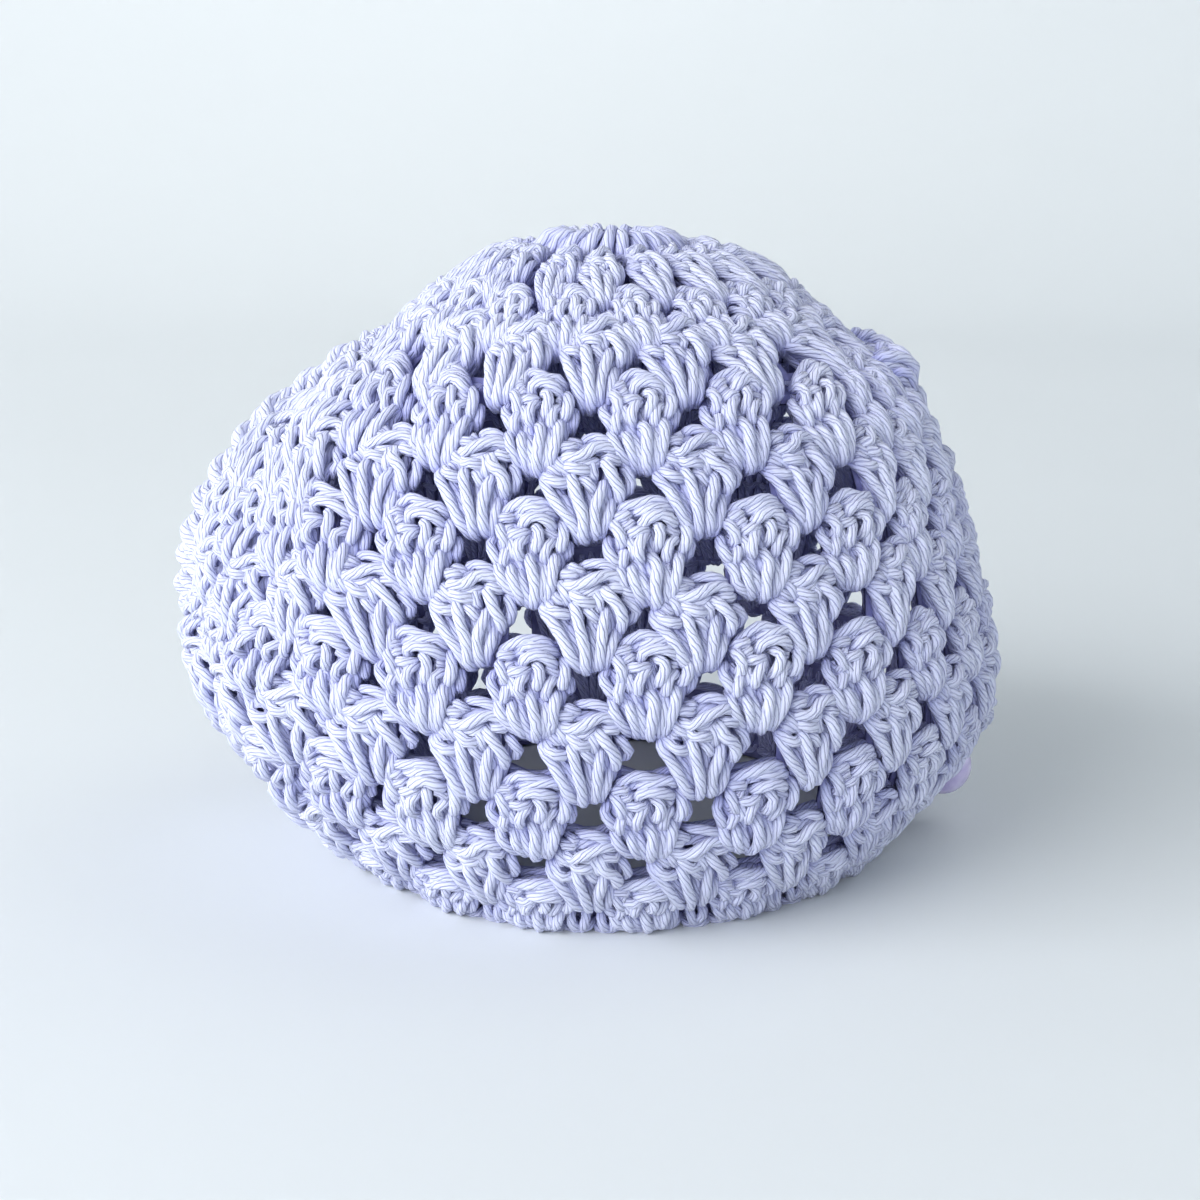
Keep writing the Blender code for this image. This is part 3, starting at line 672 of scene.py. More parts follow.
@dataclass
class Loom:
    """Collects laid copies of stitches and joins them into one piece."""

    name: str
    seed: int
    copies: list[Copy] = field(default_factory=list)
    map_places: int = 40                # stretches of the yarn's map that copies are cut from

    def __post_init__(self) -> None:
        """Start the piece's own row of random draws."""
        self.random = np.random.default_rng(self.seed)

    def draw(self, kinds: Sequence[Template], uneven: float) -> tuple[Template, Points]:
        """Pick one of several templates and stretch it a little.

        Args:
            kinds: Templates to choose from.
            uneven: Spread of the stretch, as a share of each measure.

        Returns:
            The template, and a row each of its strand middles' places across, up and out.
        """
        template = kinds[self.random.integers(len(kinds))]
        return template, (template.centres * self.random.normal(1.0, uneven, 3)).T

    def lay(self, template: Template, middles: Points, axes: Points, turned: bool = False) -> None:
        """Add a copy whose strand middles lie at given places.

        Args:
            template: The stitch.
            middles: Place of each vertex's strand middle, in millimetres.
            axes: Directions along, up and out of the cloth there.
            turned: Whether the stitch stands on its head.
        """
        offsets = template.offsets * ((-1.0, -1.0, 1.0) if turned else 1.0)
        points = middles + np.einsum("ni,nij->nj", offsets, axes)
        depths = template.centres[:, 2] + template.offsets[:, 2]
        points[:, 2] = np.maximum(points[:, 2], 0.0)
        self.copies.append(Copy(template, points * MM, depths, float(self.random.random())))

    def piece(self, material: bpy.types.Material) -> bpy.types.Object:
        """Join the copies.

        Args:
            material: Finish of the piece.

        Returns:
            The piece, in the scene.
        """
        mesh = bpy.data.meshes.new(self.name)
        points = np.concatenate([copy.points for copy in self.copies])
        starts = np.cumsum([0] + [len(copy.points) for copy in self.copies[:-1]])
        corners = np.concatenate([copy.template.corners + at for copy, at in zip(self.copies, starts)])
        sizes = np.concatenate([copy.template.sizes for copy in self.copies])
        uvs = np.concatenate([copy.template.uvs + (math.floor(copy.tint * self.map_places), 0.0)
                              for copy in self.copies])
        mesh.vertices.add(len(points))
        mesh.vertices.foreach_set("co", points.astype(np.float32).ravel())
        mesh.loops.add(len(corners))
        mesh.loops.foreach_set("vertex_index", corners.astype(np.int32))
        mesh.polygons.add(len(sizes))
        mesh.polygons.foreach_set("loop_start", np.cumsum(np.append(0, sizes[:-1])).astype(np.int32))
        mesh.update(calc_edges=True)
        layer = mesh.uv_layers.new(name="UVMap")
        layer.uv.foreach_set("vector", uvs.astype(np.float32).ravel())
        # depth, how far each vertex stands out of the cloth, sets the yarn's painted shade and light; tint
        # is a random tone for each copy
        for name, values in (("depth", [copy.depths for copy in self.copies]),
                             ("tint", [np.full(len(copy.points), copy.tint) for copy in self.copies])):
            attribute = mesh.attributes.new(name, "FLOAT", "POINT")
            attribute.data.foreach_set("value", np.concatenate(values).astype(np.float32))
        mesh.validate()
        return add_piece(self.name, mesh, material)


# --- Finishes ----------------------------------------------------------------------------

class Graph:
    """A material's node tree, with short calls to add and join nodes."""

    def __init__(self, name: str) -> None:
        """Start a material with a Principled shader.

        Args:
            name: Its name.
        """
        self.material = bpy.data.materials.new(name)
        self.material.use_nodes = True
        self.tree = self.material.node_tree
        self.shader = self.tree.nodes["Principled BSDF"]

    def feed(self, socket: bpy.types.NodeSocket, value: object) -> None:
        """Link an output to an input socket, or set a plain value on it.

        Args:
            socket: The input.
            value: The output or the value.
        """
        if isinstance(value, bpy.types.NodeSocket):
            self.tree.links.new(value, socket)
        else:
            socket.default_value = value

    def node(self, kind: str, inputs: dict | None = None, **settings: object) -> bpy.types.Node:
        """Add a node.

        Args:
            kind: Node type without its ShaderNode prefix.
            inputs: Values or output sockets for its inputs, by name or index.
            settings: Attributes of the node.

        Returns:
            The node.
        """
        made = self.tree.nodes.new("ShaderNode" + kind)
        for key, value in settings.items():
            setattr(made, key, value)
        for key, value in (inputs or {}).items():
            self.feed(made.inputs[key], value)
        return made

    def math(self, operation: str, first: object, second: object = 0.0,
             third: object = 0.0) -> bpy.types.NodeSocket:
        """Output of a Math node."""
        return self.node("Math", {0: first, 1: second, 2: third}, operation=operation).outputs[0]

    def mix(self, share: object, first: object, second: object) -> bpy.types.NodeSocket:
        """Output of a colour Mix node."""
        node = self.node("Mix", {0: share, 6: first, 7: second}, data_type="RGBA")
        return node.outputs[2]

    def spread(self, value: object, low: float, high: float) -> bpy.types.NodeSocket:
        """A value stretched from low and high to 0 and 1, and clamped."""
        node = self.node("MapRange", {"Value": value, "From Min": low, "From Max": high})
        return node.outputs[0]

    def noise(self, place: bpy.types.NodeSocket, scale: float, detail: float = 2.0,
              distortion: float = 0.0) -> bpy.types.NodeSocket:
        """Output of a Noise Texture node."""
        inputs = {"Vector": place, "Scale": scale, "Detail": detail, "Distortion": distortion}
        return self.node("TexNoise", inputs).outputs[0]

    def streaks(self, along: bpy.types.NodeSocket, around: bpy.types.NodeSocket, stretch: Place,
                scale: float, detail: float) -> bpy.types.NodeSocket:
        """Noise stretched over the yarn's map.

        Args:
            along: Place along the yarn.
            around: Place round it.
            stretch: Factors on both places, and the layer of the noise that is read.
            scale: Scale of the noise.
            detail: Detail of the noise.

        Returns:
            The noise's value.
        """
        place = self.node("CombineXYZ", {0: self.math("MULTIPLY", along, stretch[0]),
                                         1: self.math("MULTIPLY", around, stretch[1]), 2: stretch[2]})
        return self.noise(place.outputs[0], scale, detail)

    def set(self, **values: object) -> None:
        """Set or link the shader's inputs, named with underscores for spaces."""
        for key, value in values.items():
            self.feed(self.shader.inputs[key.replace("_", " ")], value)


@dataclass(frozen=True)
class CottonYarn:
    """Plied cotton: fine plies wound along the strands, violet painted shade in their grooves and on strands
    deep in the cloth, and a faint sheen.
    """

    name: str = "lilac_cotton"
    # light and shade: painted light on proud strands, painted shade on strands deep in the cloth; the crease
    # colour: painted shade in the grooves between plies
    light: Color = (0.755, 0.785, 0.96, 1.0)
    shade: Color = (0.36, 0.38, 0.82, 1.0)
    crease_shade: Color = (0.20, 0.21, 0.58, 1.0)
    plies: int = 7                      # each of two finer threads
    wander: float = 0.18                # how far the plies stray round the yarn, in turns
    wander_map: Place = (2.2, 1.0, 0.0)
    fibre_map: Place = (7.0, 70.0, 0.0)
    patch_map: Place = (3.0, 9.0, 7.0)
    patches: Span = (0.25, 0.75)        # noise from shallow grooves to deep ones
    thread_relief: float = 0.25         # of the finer threads, against the plies' 1
    fibre_relief: float = 0.4
    bump_strength: float = 0.8
    bump: float = 0.00045
    raised: Span = (0.4, 3.2)           # places out of the cloth from shade to light, in millimetres
    raised_light: float = 0.6
    tint_light: float = 0.12
    fibre_light: float = 0.45
    ply_groove: float = 1.7             # power that narrows the grooves between plies
    thread_groove: float = 2.0
    thread_depth: float = 0.3
    groove_share: float = 0.8           # of the crease's colour in the deepest groove
    roughness: float = 0.62
    sheen: float = 0.2
    sheen_roughness: float = 0.4
    specular: float = 0.35

    def material(self) -> bpy.types.Material:
        """Build the node material.

        Returns:
            The material.
        """
        graph = Graph(self.name)
        axis = graph.node("SeparateXYZ", {0: graph.node("UVMap", uv_map="UVMap").outputs[0]})
        along, around = axis.outputs[0], axis.outputs[1]
        stray = graph.math("SUBTRACT", graph.streaks(along, around, self.wander_map, 2.0, 1.0), 0.5)
        around = graph.math("MULTIPLY_ADD", stray, self.wander, around)
        turns = graph.math("MULTIPLY", around, math.pi * self.plies)
        ply = graph.math("ABSOLUTE", graph.math("SINE", turns))
        thread = graph.math("ABSOLUTE", graph.math("SINE", graph.math("MULTIPLY", turns, 2.0)))
        height = graph.math("MULTIPLY_ADD", graph.math("POWER", thread, 0.5), self.thread_relief,
                            graph.math("POWER", ply, 0.5))
        fibres = graph.streaks(along, around, self.fibre_map, 1.0, 3.0)
        height = graph.math("MULTIPLY_ADD", fibres, self.fibre_relief, height)
        bump = graph.node("Bump", {"Strength": self.bump_strength, "Distance": self.bump, "Height": height})
        # painted shade on strands deep in the cloth and painted light on proud ones, plus a random tone for
        # each copy and its fibres
        depth = graph.node("Attribute", attribute_name="depth").outputs["Fac"]
        tint = graph.node("Attribute", attribute_name="tint").outputs["Fac"]
        bright = graph.math("MULTIPLY_ADD", graph.spread(depth, *self.raised), self.raised_light,
                            graph.math("MULTIPLY", tint, self.tint_light))
        bright = graph.math("MULTIPLY_ADD", fibres, self.fibre_light, bright)
        body = graph.mix(bright, self.shade, self.light)
        # painted shade in the grooves between plies and finer threads, deeper in patches
        groove = graph.math("POWER", graph.math("SUBTRACT", 1.0, ply), self.ply_groove)
        fine = graph.math("POWER", graph.math("SUBTRACT", 1.0, thread), self.thread_groove)
        groove = graph.math("MAXIMUM", groove, graph.math("MULTIPLY", fine, self.thread_depth))
        patches = graph.streaks(along, around, self.patch_map, 1.0, 1.0)
        groove = graph.math("MULTIPLY", groove, graph.spread(patches, *self.patches))
        color = graph.mix(graph.math("MULTIPLY", groove, self.groove_share), body, self.crease_shade)
        graph.set(Base_Color=color, Roughness=self.roughness, Normal=bump.outputs[0],
                  Sheen_Weight=self.sheen, Sheen_Roughness=self.sheen_roughness,
                  Specular_IOR_Level=self.specular)
        return graph.material


@dataclass(frozen=True)
class ClothGround:
    """The inner cloth that shows between stitches, coloured in dark painted shade, with painted shade
    deepening between its loops.
    """

    name: str = "lilac_ground"
    shade: Color = (0.23, 0.24, 0.50, 1.0)
    crease_shade: Color = (0.12, 0.12, 0.30, 1.0)
    loop_scale: float = 420.0
    fibre_scale: float = 900.0
    fibre_relief: float = 0.5
    loops: Span = (0.2, 0.8)            # distance from a loop's middle, from shade to crease
    bump_strength: float = 0.7
    bump: float = 0.0006
    roughness: float = 0.9
    specular: float = 0.2

    def material(self) -> bpy.types.Material:
        """Build the node material.

        Returns:
            The material.
        """
        graph = Graph(self.name)
        place = graph.node("TexCoord").outputs["Object"]
        loops = graph.node("TexVoronoi", {"Vector": place, "Scale": self.loop_scale}, feature="SMOOTH_F1")
        cells = loops.outputs[0]
        height = graph.math("MULTIPLY_ADD", graph.noise(place, self.fibre_scale, 3.0), self.fibre_relief,
                            graph.math("SUBTRACT", 1.0, cells))
        bump = graph.node("Bump", {"Strength": self.bump_strength, "Distance": self.bump, "Height": height})
        # painted shade that deepens from each loop's middle to its edge
        color = graph.mix(graph.spread(cells, *self.loops), self.shade, self.crease_shade)
        graph.set(Base_Color=color, Roughness=self.roughness, Normal=bump.outputs[0],
                  Specular_IOR_Level=self.specular)
        return graph.material


@dataclass(frozen=True)
class PearlPlastic:
    """The button's pearl finish."""

    name: str = "lilac_pearl"
    light: Color = (0.66, 0.60, 0.86, 1.0)
    shade: Color = (0.50, 0.44, 0.74, 1.0)
    veil_scale: float = 160.0
    veil_distortion: float = 1.4
    veil: Span = (0.35, 0.65)           # noise from shade to light
    bump_strength: float = 0.08
    bump: float = 0.0002
    roughness: float = 0.22
    coat: float = 0.6
    coat_roughness: float = 0.08
    glow: float = 0.25                  # of light that passes under the surface
    glow_reach: Place = (0.002, 0.0015, 0.002)

    def material(self) -> bpy.types.Material:
        """Build the node material.

        Returns:
            The material.
        """
        graph = Graph(self.name)
        place = graph.node("TexCoord").outputs["Object"]
        veil = graph.noise(place, self.veil_scale, 4.0, self.veil_distortion)
        color = graph.mix(graph.spread(veil, *self.veil), self.shade, self.light)
        bump = graph.node("Bump", {"Strength": self.bump_strength, "Distance": self.bump, "Height": veil})
        graph.set(Base_Color=color, Roughness=self.roughness, Normal=bump.outputs[0],
                  Coat_Weight=self.coat, Coat_Roughness=self.coat_roughness,
                  Subsurface_Weight=self.glow, Subsurface_Radius=self.glow_reach, Subsurface_Scale=1.0)
        return graph.material


@dataclass(frozen=True)
class Paper:
    """Pale matt floor."""

    name: str = "pale_floor"
    color: Color = (0.71, 0.745, 0.765, 1.0)
    fade: float = 0.97                  # factor on the colour in its darker places
    scale: float = 3.0
    roughness: float = 0.8

    def material(self) -> bpy.types.Material:
        """Build the node material.

        Returns:
            The material.
        """
        graph = Graph(self.name)
        noise = graph.noise(graph.node("TexCoord").outputs["Object"], self.scale)
        pale = tuple(self.fade * part for part in self.color[:3]) + (1.0,)
        graph.set(Base_Color=graph.mix(noise, pale, self.color), Roughness=self.roughness)
        return graph.material


# --- Cloth -------------------------------------------------------------------------------

@dataclass(frozen=True)
class Row:
    """A row of gaps: its height, pitch, gap width, and 1 where it is moved by half a pitch."""

    height: float
    pitch: float
    gap: float
    shift: int


@dataclass
class Edges:
    """Free edges of a half: arcs on the front half at which the cloth ends and borders begin."""

    wall: Wall
    spout_centre: float = 69.0
    spout_half_height: float = 21.5
    spout_half_width: float = 17.0
    spout_edging: float = 6.0
    handle_half_width: float = 9.0
    handle_foot: float = 25.0
    handle_foot_rise: float = 8.0
    handle_band: float = 10.0
    notch_top: float = 10.0
    notch_half_width: float = 9.0
    seam: float = 0.4

    def spout_parting(self, height: Points) -> Points:
        """Half the distance between the two halves on the spout's side."""
        reach = (height - self.spout_centre) / self.spout_half_height
        return np.maximum(self.seam / 2, self.spout_half_width * (1 - reach ** 2))

    def handle_parting(self, height: Points) -> Points:
        """Half the distance between the two halves on the handle's side.

        Args:
            height: Heights above the hem.

        Returns:
            The distance at each: the slit's above its foot, and a small notch's at the hem.
        """
        rise = np.clip((height - self.handle_foot) / self.handle_foot_rise, 0.0, 1.0)
        notch = self.notch_half_width * np.maximum(1.0 - height / self.notch_top, 0.0)
        return np.maximum(np.maximum(self.handle_half_width * rise, notch), self.seam / 2)

    def spout(self, height: Points) -> Points:
        """Arc of the free edge on the spout's side."""
        return self.wall.at(self.wall.to_spout, height) + self.spout_parting(height)

    def handle(self, height: Points) -> Points:
        """Arc of the free edge on the handle's side."""
        return self.wall.at(self.wall.to_handle, height) - self.handle_parting(height)

    def left(self, height: Points) -> Points:
        """Arc at which the panel begins."""
        return self.spout(height) + self.spout_edging + self.seam

    def right(self, height: Points) -> Points:
        """Arc at which the panel ends."""
        return self.handle(height) - self.handle_band - self.seam


@dataclass
class PanelGrid:
    """Columns and rows of a panel's gaps. A column counts half pitches from the first gap."""

    wall: Wall
    edges: Edges
    pitch: float = 20.0
    hem_pitch: float = 19.0
    hem_line: float = 6.0
    gap_from_centre: float = 8.2
    gap_height: float = 5.6
    smallest_cut: float = 4.0
    squeeze_start: float = 55.0
    bunch_start: float = 40.0
    bunch_end: float = 68.0
    bunch_width: float = 0.35           # gap width left where the cloth is fully bunched
    pleat: float = 1.3
    pleat_across: float = 5.2
    pleat_up: float = 14.0
    left_column: float = -12.33
    right_column: float = 9.67
    crown_foot: float = 99.7
    hem_lap: float = 0.8                # foot of the hem's row, up the wall
    crown_lap: float = 3.4              # how far the top row reaches over the crown's foot
    plain_end: Span = (-12.0, 0.5)      # column and width of the narrow cluster that begins a row,
    moved_ends: tuple[Span, Span] = ((-11.8, 0.75), (9.5, 0.4))     # and of both ends of a moved one
    rows: tuple[Row, ...] = (
        Row(16.1, 19.5, 5.2, 0),
        Row(27.6, 20.0, 6.2, 1),
        Row(39.8, 20.0, 7.2, 0),
        Row(51.2, 20.0, 7.4, 1),
        Row(62.2, 20.0, 7.4, 0),
        Row(73.2, 20.0, 7.4, 1),
        Row(84.2, 19.7, 6.8, 0),
        Row(94.8, 17.4, 5.6, 1),
    )

    def arc(self, column: Points, height: Points) -> Points:
        """Arc of a column, crowded towards the panel's edges.

        Args:
            column: Half pitches from the gap next to the centre, to the right.
            height: Height of each place.

        Returns:
            The arcs on the front half.
        """
        heights = [0.0] + [row.height for row in self.rows]
        pitch = np.interp(height, heights, [self.hem_pitch] + [row.pitch for row in self.rows])
        first = self.gap_from_centre * pitch / self.pitch
        start = self.squeeze_start * pitch / self.pitch
        arc = first + column * pitch / 2
        right = first + self.right_column * pitch / 2
        left = first + self.left_column * pitch / 2
        to_right = (self.edges.right(height) - start) / (right - start)
        to_left = (self.edges.left(height) + start) / (left + start)
        return np.where(arc > start, start + (arc - start) * to_right,
                        np.where(arc < -start, -start + (arc + start) * to_left, arc))

    def bunched(self, arc: Points) -> Points:
        """How far the cloth is bunched beside the spout, from 0 to 1."""
        return np.clip((-arc - self.bunch_start) / (self.bunch_end - self.bunch_start), 0.0, 1.0)

    def pleats(self, arc: Points, height: Points) -> Points:
        """Lift of the soft pleats beside the spout."""
        return self.pleat * self.bunched(arc) * np.sin(arc / self.pleat_across + height / self.pleat_up)

    def ends(self, row: int) -> tuple[float, float]:
        """Foot and top of a row's clusters.

        Args:
            row: Row of gaps that they stand beside, or -1 for the hem's row.

        Returns:
            Both as distances up the wall.
        """
        rise = self.gap_height / 2
        middles = [self.wall.distance(each.height) for each in self.rows]
        if row < 1:
            foot = self.hem_lap if row < 0 else self.wall.distance(self.hem_line)
        else:
            foot = middles[row - 1] + rise
        if row == len(self.rows) - 1:
            return foot, self.wall.distance(self.crown_foot) + self.crown_lap
        return foot, middles[row + 1] - rise

    def clusters(self, row: int) -> list[Span]:
        """Columns and widths of a row's clusters.

        Args:
            row: Row of gaps that they stand beside, or -1 for the hem's row.

        Returns:
            A column and a factor on the width for each.
        """
        if row >= 0 and self.rows[row].shift == 0:
            return [self.plain_end] + [(float(column), 1.0) for column in range(-11, 10, 2)]
        first, last = self.moved_ends
        return [first] + [(float(column), 1.0) for column in range(-10, 9, 2)] + [last]

    def is_gap(self, row: Row, column: int) -> bool:
        """Whether the cloth has a gap at a column of a row.

        Args:
            row: Row of gaps.
            column: Half pitches from the first gap.

        Returns:
            True where the gap is wide enough to be cut through.
        """
        if (column - row.shift) % 2 or column in (-12, 10):
            return False
        height = np.array([row.height] * 3)
        half = row.gap / row.pitch
        low, middle, high = self.arc(np.array([column - half, column, column + half]), height)
        narrowed = 1 - (1 - self.bunch_width) * float(self.bunched(np.array([middle]))[0])
        return float(high - low) * narrowed > self.smallest_cut


def cloth_sheet(columns: int, lines: int, is_gap: Callable[[int, int], bool],
                place: Callable[[Points, Points], Points]) -> bmesh.types.BMesh:
    """A grid of cloth opened at its gaps and wrapped.

    Args:
        columns: Cells across.
        lines: Cells up.
        is_gap: Says whether the cell above and right of a column and line is a gap.
        place: Gives points for arrays of columns and lines.

    Returns:
        The sheet in millimetres.
    """
    bm = bmesh.new()
    bmesh.ops.create_grid(bm, x_segments=columns, y_segments=lines, size=1.0)
    where = {vert: (round((vert.co.x + 1) / 2 * columns), round((vert.co.y + 1) / 2 * lines))
             for vert in bm.verts}
    gaps = [face for face in bm.faces
            if is_gap(min(where[v][0] for v in face.verts), min(where[v][1] for v in face.verts))]
    places = place(*np.array(list(where.values())).T)
    for vert, point in zip(where, places):
        vert.co = point
    bmesh.ops.delete(bm, geom=gaps, context="FACES")
    bmesh.ops.remove_doubles(bm, verts=bm.verts, dist=SHEET_MERGE)
    return bm


@dataclass
class Half:
    """One half of the cosy: a panel of granny stitch, its hem, its edging and its band."""

    side: Side
    grid: PanelGrid
    yarn: bpy.types.Material
    ground: bpy.types.Material
    seed: int
    cluster_seed: int = 10              # of the clusters' variants, alike for both halves
    hem_spacing: float = 5.4
    edge_spacing: float = 5.6
    band_spacing: float = 6.0
    band_settle: float = 1.3            # how far the band's yarn sinks into its place
    band_rise: float = 4.7              # how proud the knot at the band's top end stands
    knot_foot: float = 90.0
    sway: float = 0.3                   # of the stitches along an edge
    hem_inset: float = 2.0              # from the free edges to the hem's first and last stitch
    hem_lift: float = 0.2
    uneven: float = 0.035               # spread of a cluster's measures, as a share of them
    hem_uneven: float = 0.04
    edge_uneven: float = 0.07
    slant: float = 0.045                # spread of a cluster's slant
    slant_middle: float = 9.0           # place up a cluster about which it slants
    stray: float = 0.35                 # spread of a cluster's place across
    stray_up: float = 0.015             # and up, as a share of its height
    # clusters get wider to the spout and narrower to the handle, from a distance on over a length
    fullness: float = 0.12
    fullness_start: float = 22.0
    fullness_length: float = 18.0
    fullness_height: float = 20.0       # height at which that distance is measured
    bunch_fill: float = 0.3             # how much wider clusters are in bunched cloth
    bunch_lift: float = 0.25            # and how much prouder
    knot_end: float = 0.55              # of the band's rise for the knot's second row
    knot_length: float = 6.0
    sheet_gap: float = 0.44             # half the width of a gap in the sheet, in half pitches
    sheet_inset: float = 0.8            # from the free edges
    sheet_pleats: float = 0.5           # of the pleats' lift
    left_cells: int = 2                 # cells of the sheet from its columns to the spout's edge
    right_cells: int = 3                # and to the handle's
    sheet_lift: float = -0.5
    sheet_thickness: float = 1.0
    sheet_drop: float = 4.8             # from a gap's middle down to the sheet's edge behind the caps
    sheet_rise: float = 3.3             # and up to its edge behind the feet
    flat: tuple[float, float] = (0.236, 0.128)
    flat_area: float = 0.0205           # narrower at top and hem, and without the gaps
    lower_rows: range = range(-1, 4)
    upper_rows: range = range(4, 8)

    def __post_init__(self) -> None:
        """Take the wall and the way round that this half runs."""
        self.wall = self.grid.wall
        self.way = 1.0 if self.side is Side.FRONT else -1.0

    def true_arc(self, arc: Points, height: Points) -> Points:
        """Arcs on this half for arcs given on the front half."""
        return arc if self.side is Side.FRONT else self.wall.mirrored(arc, height)

    def put(self, loom: Loom, template: Template, arc: Points, height: Points, lift: Points,
            turned: bool = False) -> None:
        """Lay a copy at arcs of the front half, on this half."""
        loom.lay(template, *self.wall.place(self.true_arc(arc, height), height, lift), turned)

    def lay_cluster(self, loom: Loom, kinds: list[Template], row: int, column: float,
                    width: float) -> None:
        """Lay one cluster.

        Args:
            loom: Piece that gets it.
            kinds: Templates to choose from.
            row: Row of gaps that it stands beside, or -1 for the hem's row.
            column: Half pitches from the first gap.
            width: Factor on its width.
        """
        random = loom.random
        template, (across, up, out) = loom.draw(kinds, self.uneven)
        slanted = across + random.normal(0.0, self.slant) * (up - self.slant_middle)
        across = self.way * (slanted + random.normal(0.0, self.stray))
        foot, top = self.grid.ends(row)
        share = up / RIGHT_SIDE.height + random.normal(0.0, self.stray_up)
        height = self.wall.height_of(foot + share * (top - foot))
        middle = self.grid.arc(np.array([column]), np.array([self.fullness_height]))
        beside = (abs(middle[0]) - self.fullness_start) / self.fullness_length
        beside = float(np.clip(beside, 0.0, 1.0))
        width *= 1 - self.fullness * math.copysign(beside, middle[0])
        bunched = float(self.grid.bunched(middle)[0])
        reach = across * width * (1 + self.bunch_fill * bunched)
        arc = self.grid.arc(column + reach * 2 / self.grid.pitch, height)
        lift = out * (1 + self.bunch_lift * bunched) + self.grid.pleats(arc, height)
        self.put(loom, template, arc, height, lift)

    def clusters(self, part: str, rows: range, seed: int) -> bpy.types.Object:
        """The clusters of several rows of the panel, as one piece.

        Args:
            part: Word for the part of the panel.
            rows: Its rows.
            seed: Seed of its unevenness.

        Returns:
            The piece.
        """
        loom = Loom(f"{self.side.value}_clusters_{part}", seed)
        right_side = RIGHT_SIDE.variants(self.cluster_seed + 1)
        wrong_side = WRONG_SIDE.variants(self.cluster_seed + 2)
        for row in rows:
            facing_out = row >= 0 and self.grid.rows[row].shift == 0
            for column, width in self.grid.clusters(row):
                self.lay_cluster(loom, right_side if facing_out else wrong_side, row, column, width)
        return loom.piece(self.yarn)

    def hem(self) -> bpy.types.Object:
        """Make the row of short stitches along the foot.

        Returns:
            The piece.
        """
        loom = Loom(f"{self.side.value}_hem", self.seed + 3)
        kinds = HEM_STITCH.variants(self.seed + 4)
        edges = self.grid.edges
        start = float(edges.spout(0.0)) + self.hem_inset
        end = float(edges.handle(0.0)) - self.hem_inset
        count = round((end - start) / self.hem_spacing)
        for index in range(count):
            template, (across, up, out) = loom.draw(kinds, self.hem_uneven)
            arc = start + (end - start) * (index + 0.5) / count + self.way * across
            self.put(loom, template, arc, self.wall.height_of(up + self.hem_lift), out)
        return loom.piece(self.yarn)

    def edge_row(self, loom: Loom, kinds: list[Template], middle: Callable[[Points], Points],
                 spacing: float, rim: float, rise: Callable[[Points], Points] = np.zeros_like,
                 start: float = 0.0) -> None:
        """Lay stitches one above another along an edge.

        Args:
            loom: Piece that gets them.
            kinds: Templates to choose from.
            middle: Arc of the row's middle at a height.
            spacing: Distance between stitches up the wall.
            rim: 1 where the free edge lies at higher arcs, -1 where at lower ones.
            rise: Extra lift off the wall at a height.
            start: Distance up the wall at which the row begins.
        """
        length = self.wall.distance(self.grid.crown_foot) - start
        count = round(length / spacing)
        up_way = self.way * rim
        for index in range(count):
            template, (across, up, out) = loom.draw(kinds, self.edge_uneven)
            distance = start + (index + 0.5) * length / count + up_way * up * length / count / spacing
            height = self.wall.height_of(distance + loom.random.normal(0.0, self.sway))
            arc = middle(height) + rim * (across + loom.random.normal(0.0, self.sway))
            self.put(loom, template, arc, height, out + rise(height), up_way < 0)

    def edging(self) -> bpy.types.Object:
        """Make the stitched edge beside the spout.

        Returns:
            The piece.
        """
        loom = Loom(f"{self.side.value}_spout_edging", self.seed + 5)
        edges = self.grid.edges
        self.edge_row(loom, EDGE_STITCH.variants(self.seed + 6),
                      lambda z: edges.spout(z) + edges.spout_edging / 2, self.edge_spacing, -1.0)
        return loom.piece(self.yarn)

    def knot(self, height: Points) -> Points:
        """How far the knot at the band's top end has risen at heights, from 0 to 1."""
        return np.clip((height - self.knot_foot) / self.knot_length, 0.0, 1.0) ** 2

    def band(self) -> bpy.types.Object:
        """Make the row of broad stitches beside the handle, with a second row in its knot.

        Returns:
            The piece.
        """
        loom = Loom(f"{self.side.value}_handle_band", self.seed + 7)
        edges = self.grid.edges
        kinds = BAND_STITCH.variants(self.seed + 8)
        knot_start = self.wall.distance(self.knot_foot)
        for rise, start in ((self.band_rise, 0.0), (self.knot_end * self.band_rise, knot_start)):
            self.edge_row(loom, kinds, lambda z: edges.handle(z) - edges.handle_band / 2,
                          self.band_spacing, 1.0, lambda z: rise * self.knot(z) - self.band_settle, start)
        return loom.piece(self.yarn)

    def cloth(self) -> bpy.types.Object:
        """Make the thin sheet behind the stitches, open at its gaps.

        Returns:
            The piece.
        """
        grid, edges = self.grid, self.grid.edges
        sides = np.array([number + part for number in range(-12, 11)
                          for part in (-self.sheet_gap, self.sheet_gap)])
        columns = np.concatenate(([grid.left_column], sides[1:-1], [grid.right_column]))
        lines = [0.0, grid.hem_line]
        for row in grid.rows:
            climb = self.wall.climb(row.height)
            lines += [row.height - self.sheet_drop * climb, row.height + self.sheet_rise * climb]
        lines = np.array(lines + [grid.crown_foot])

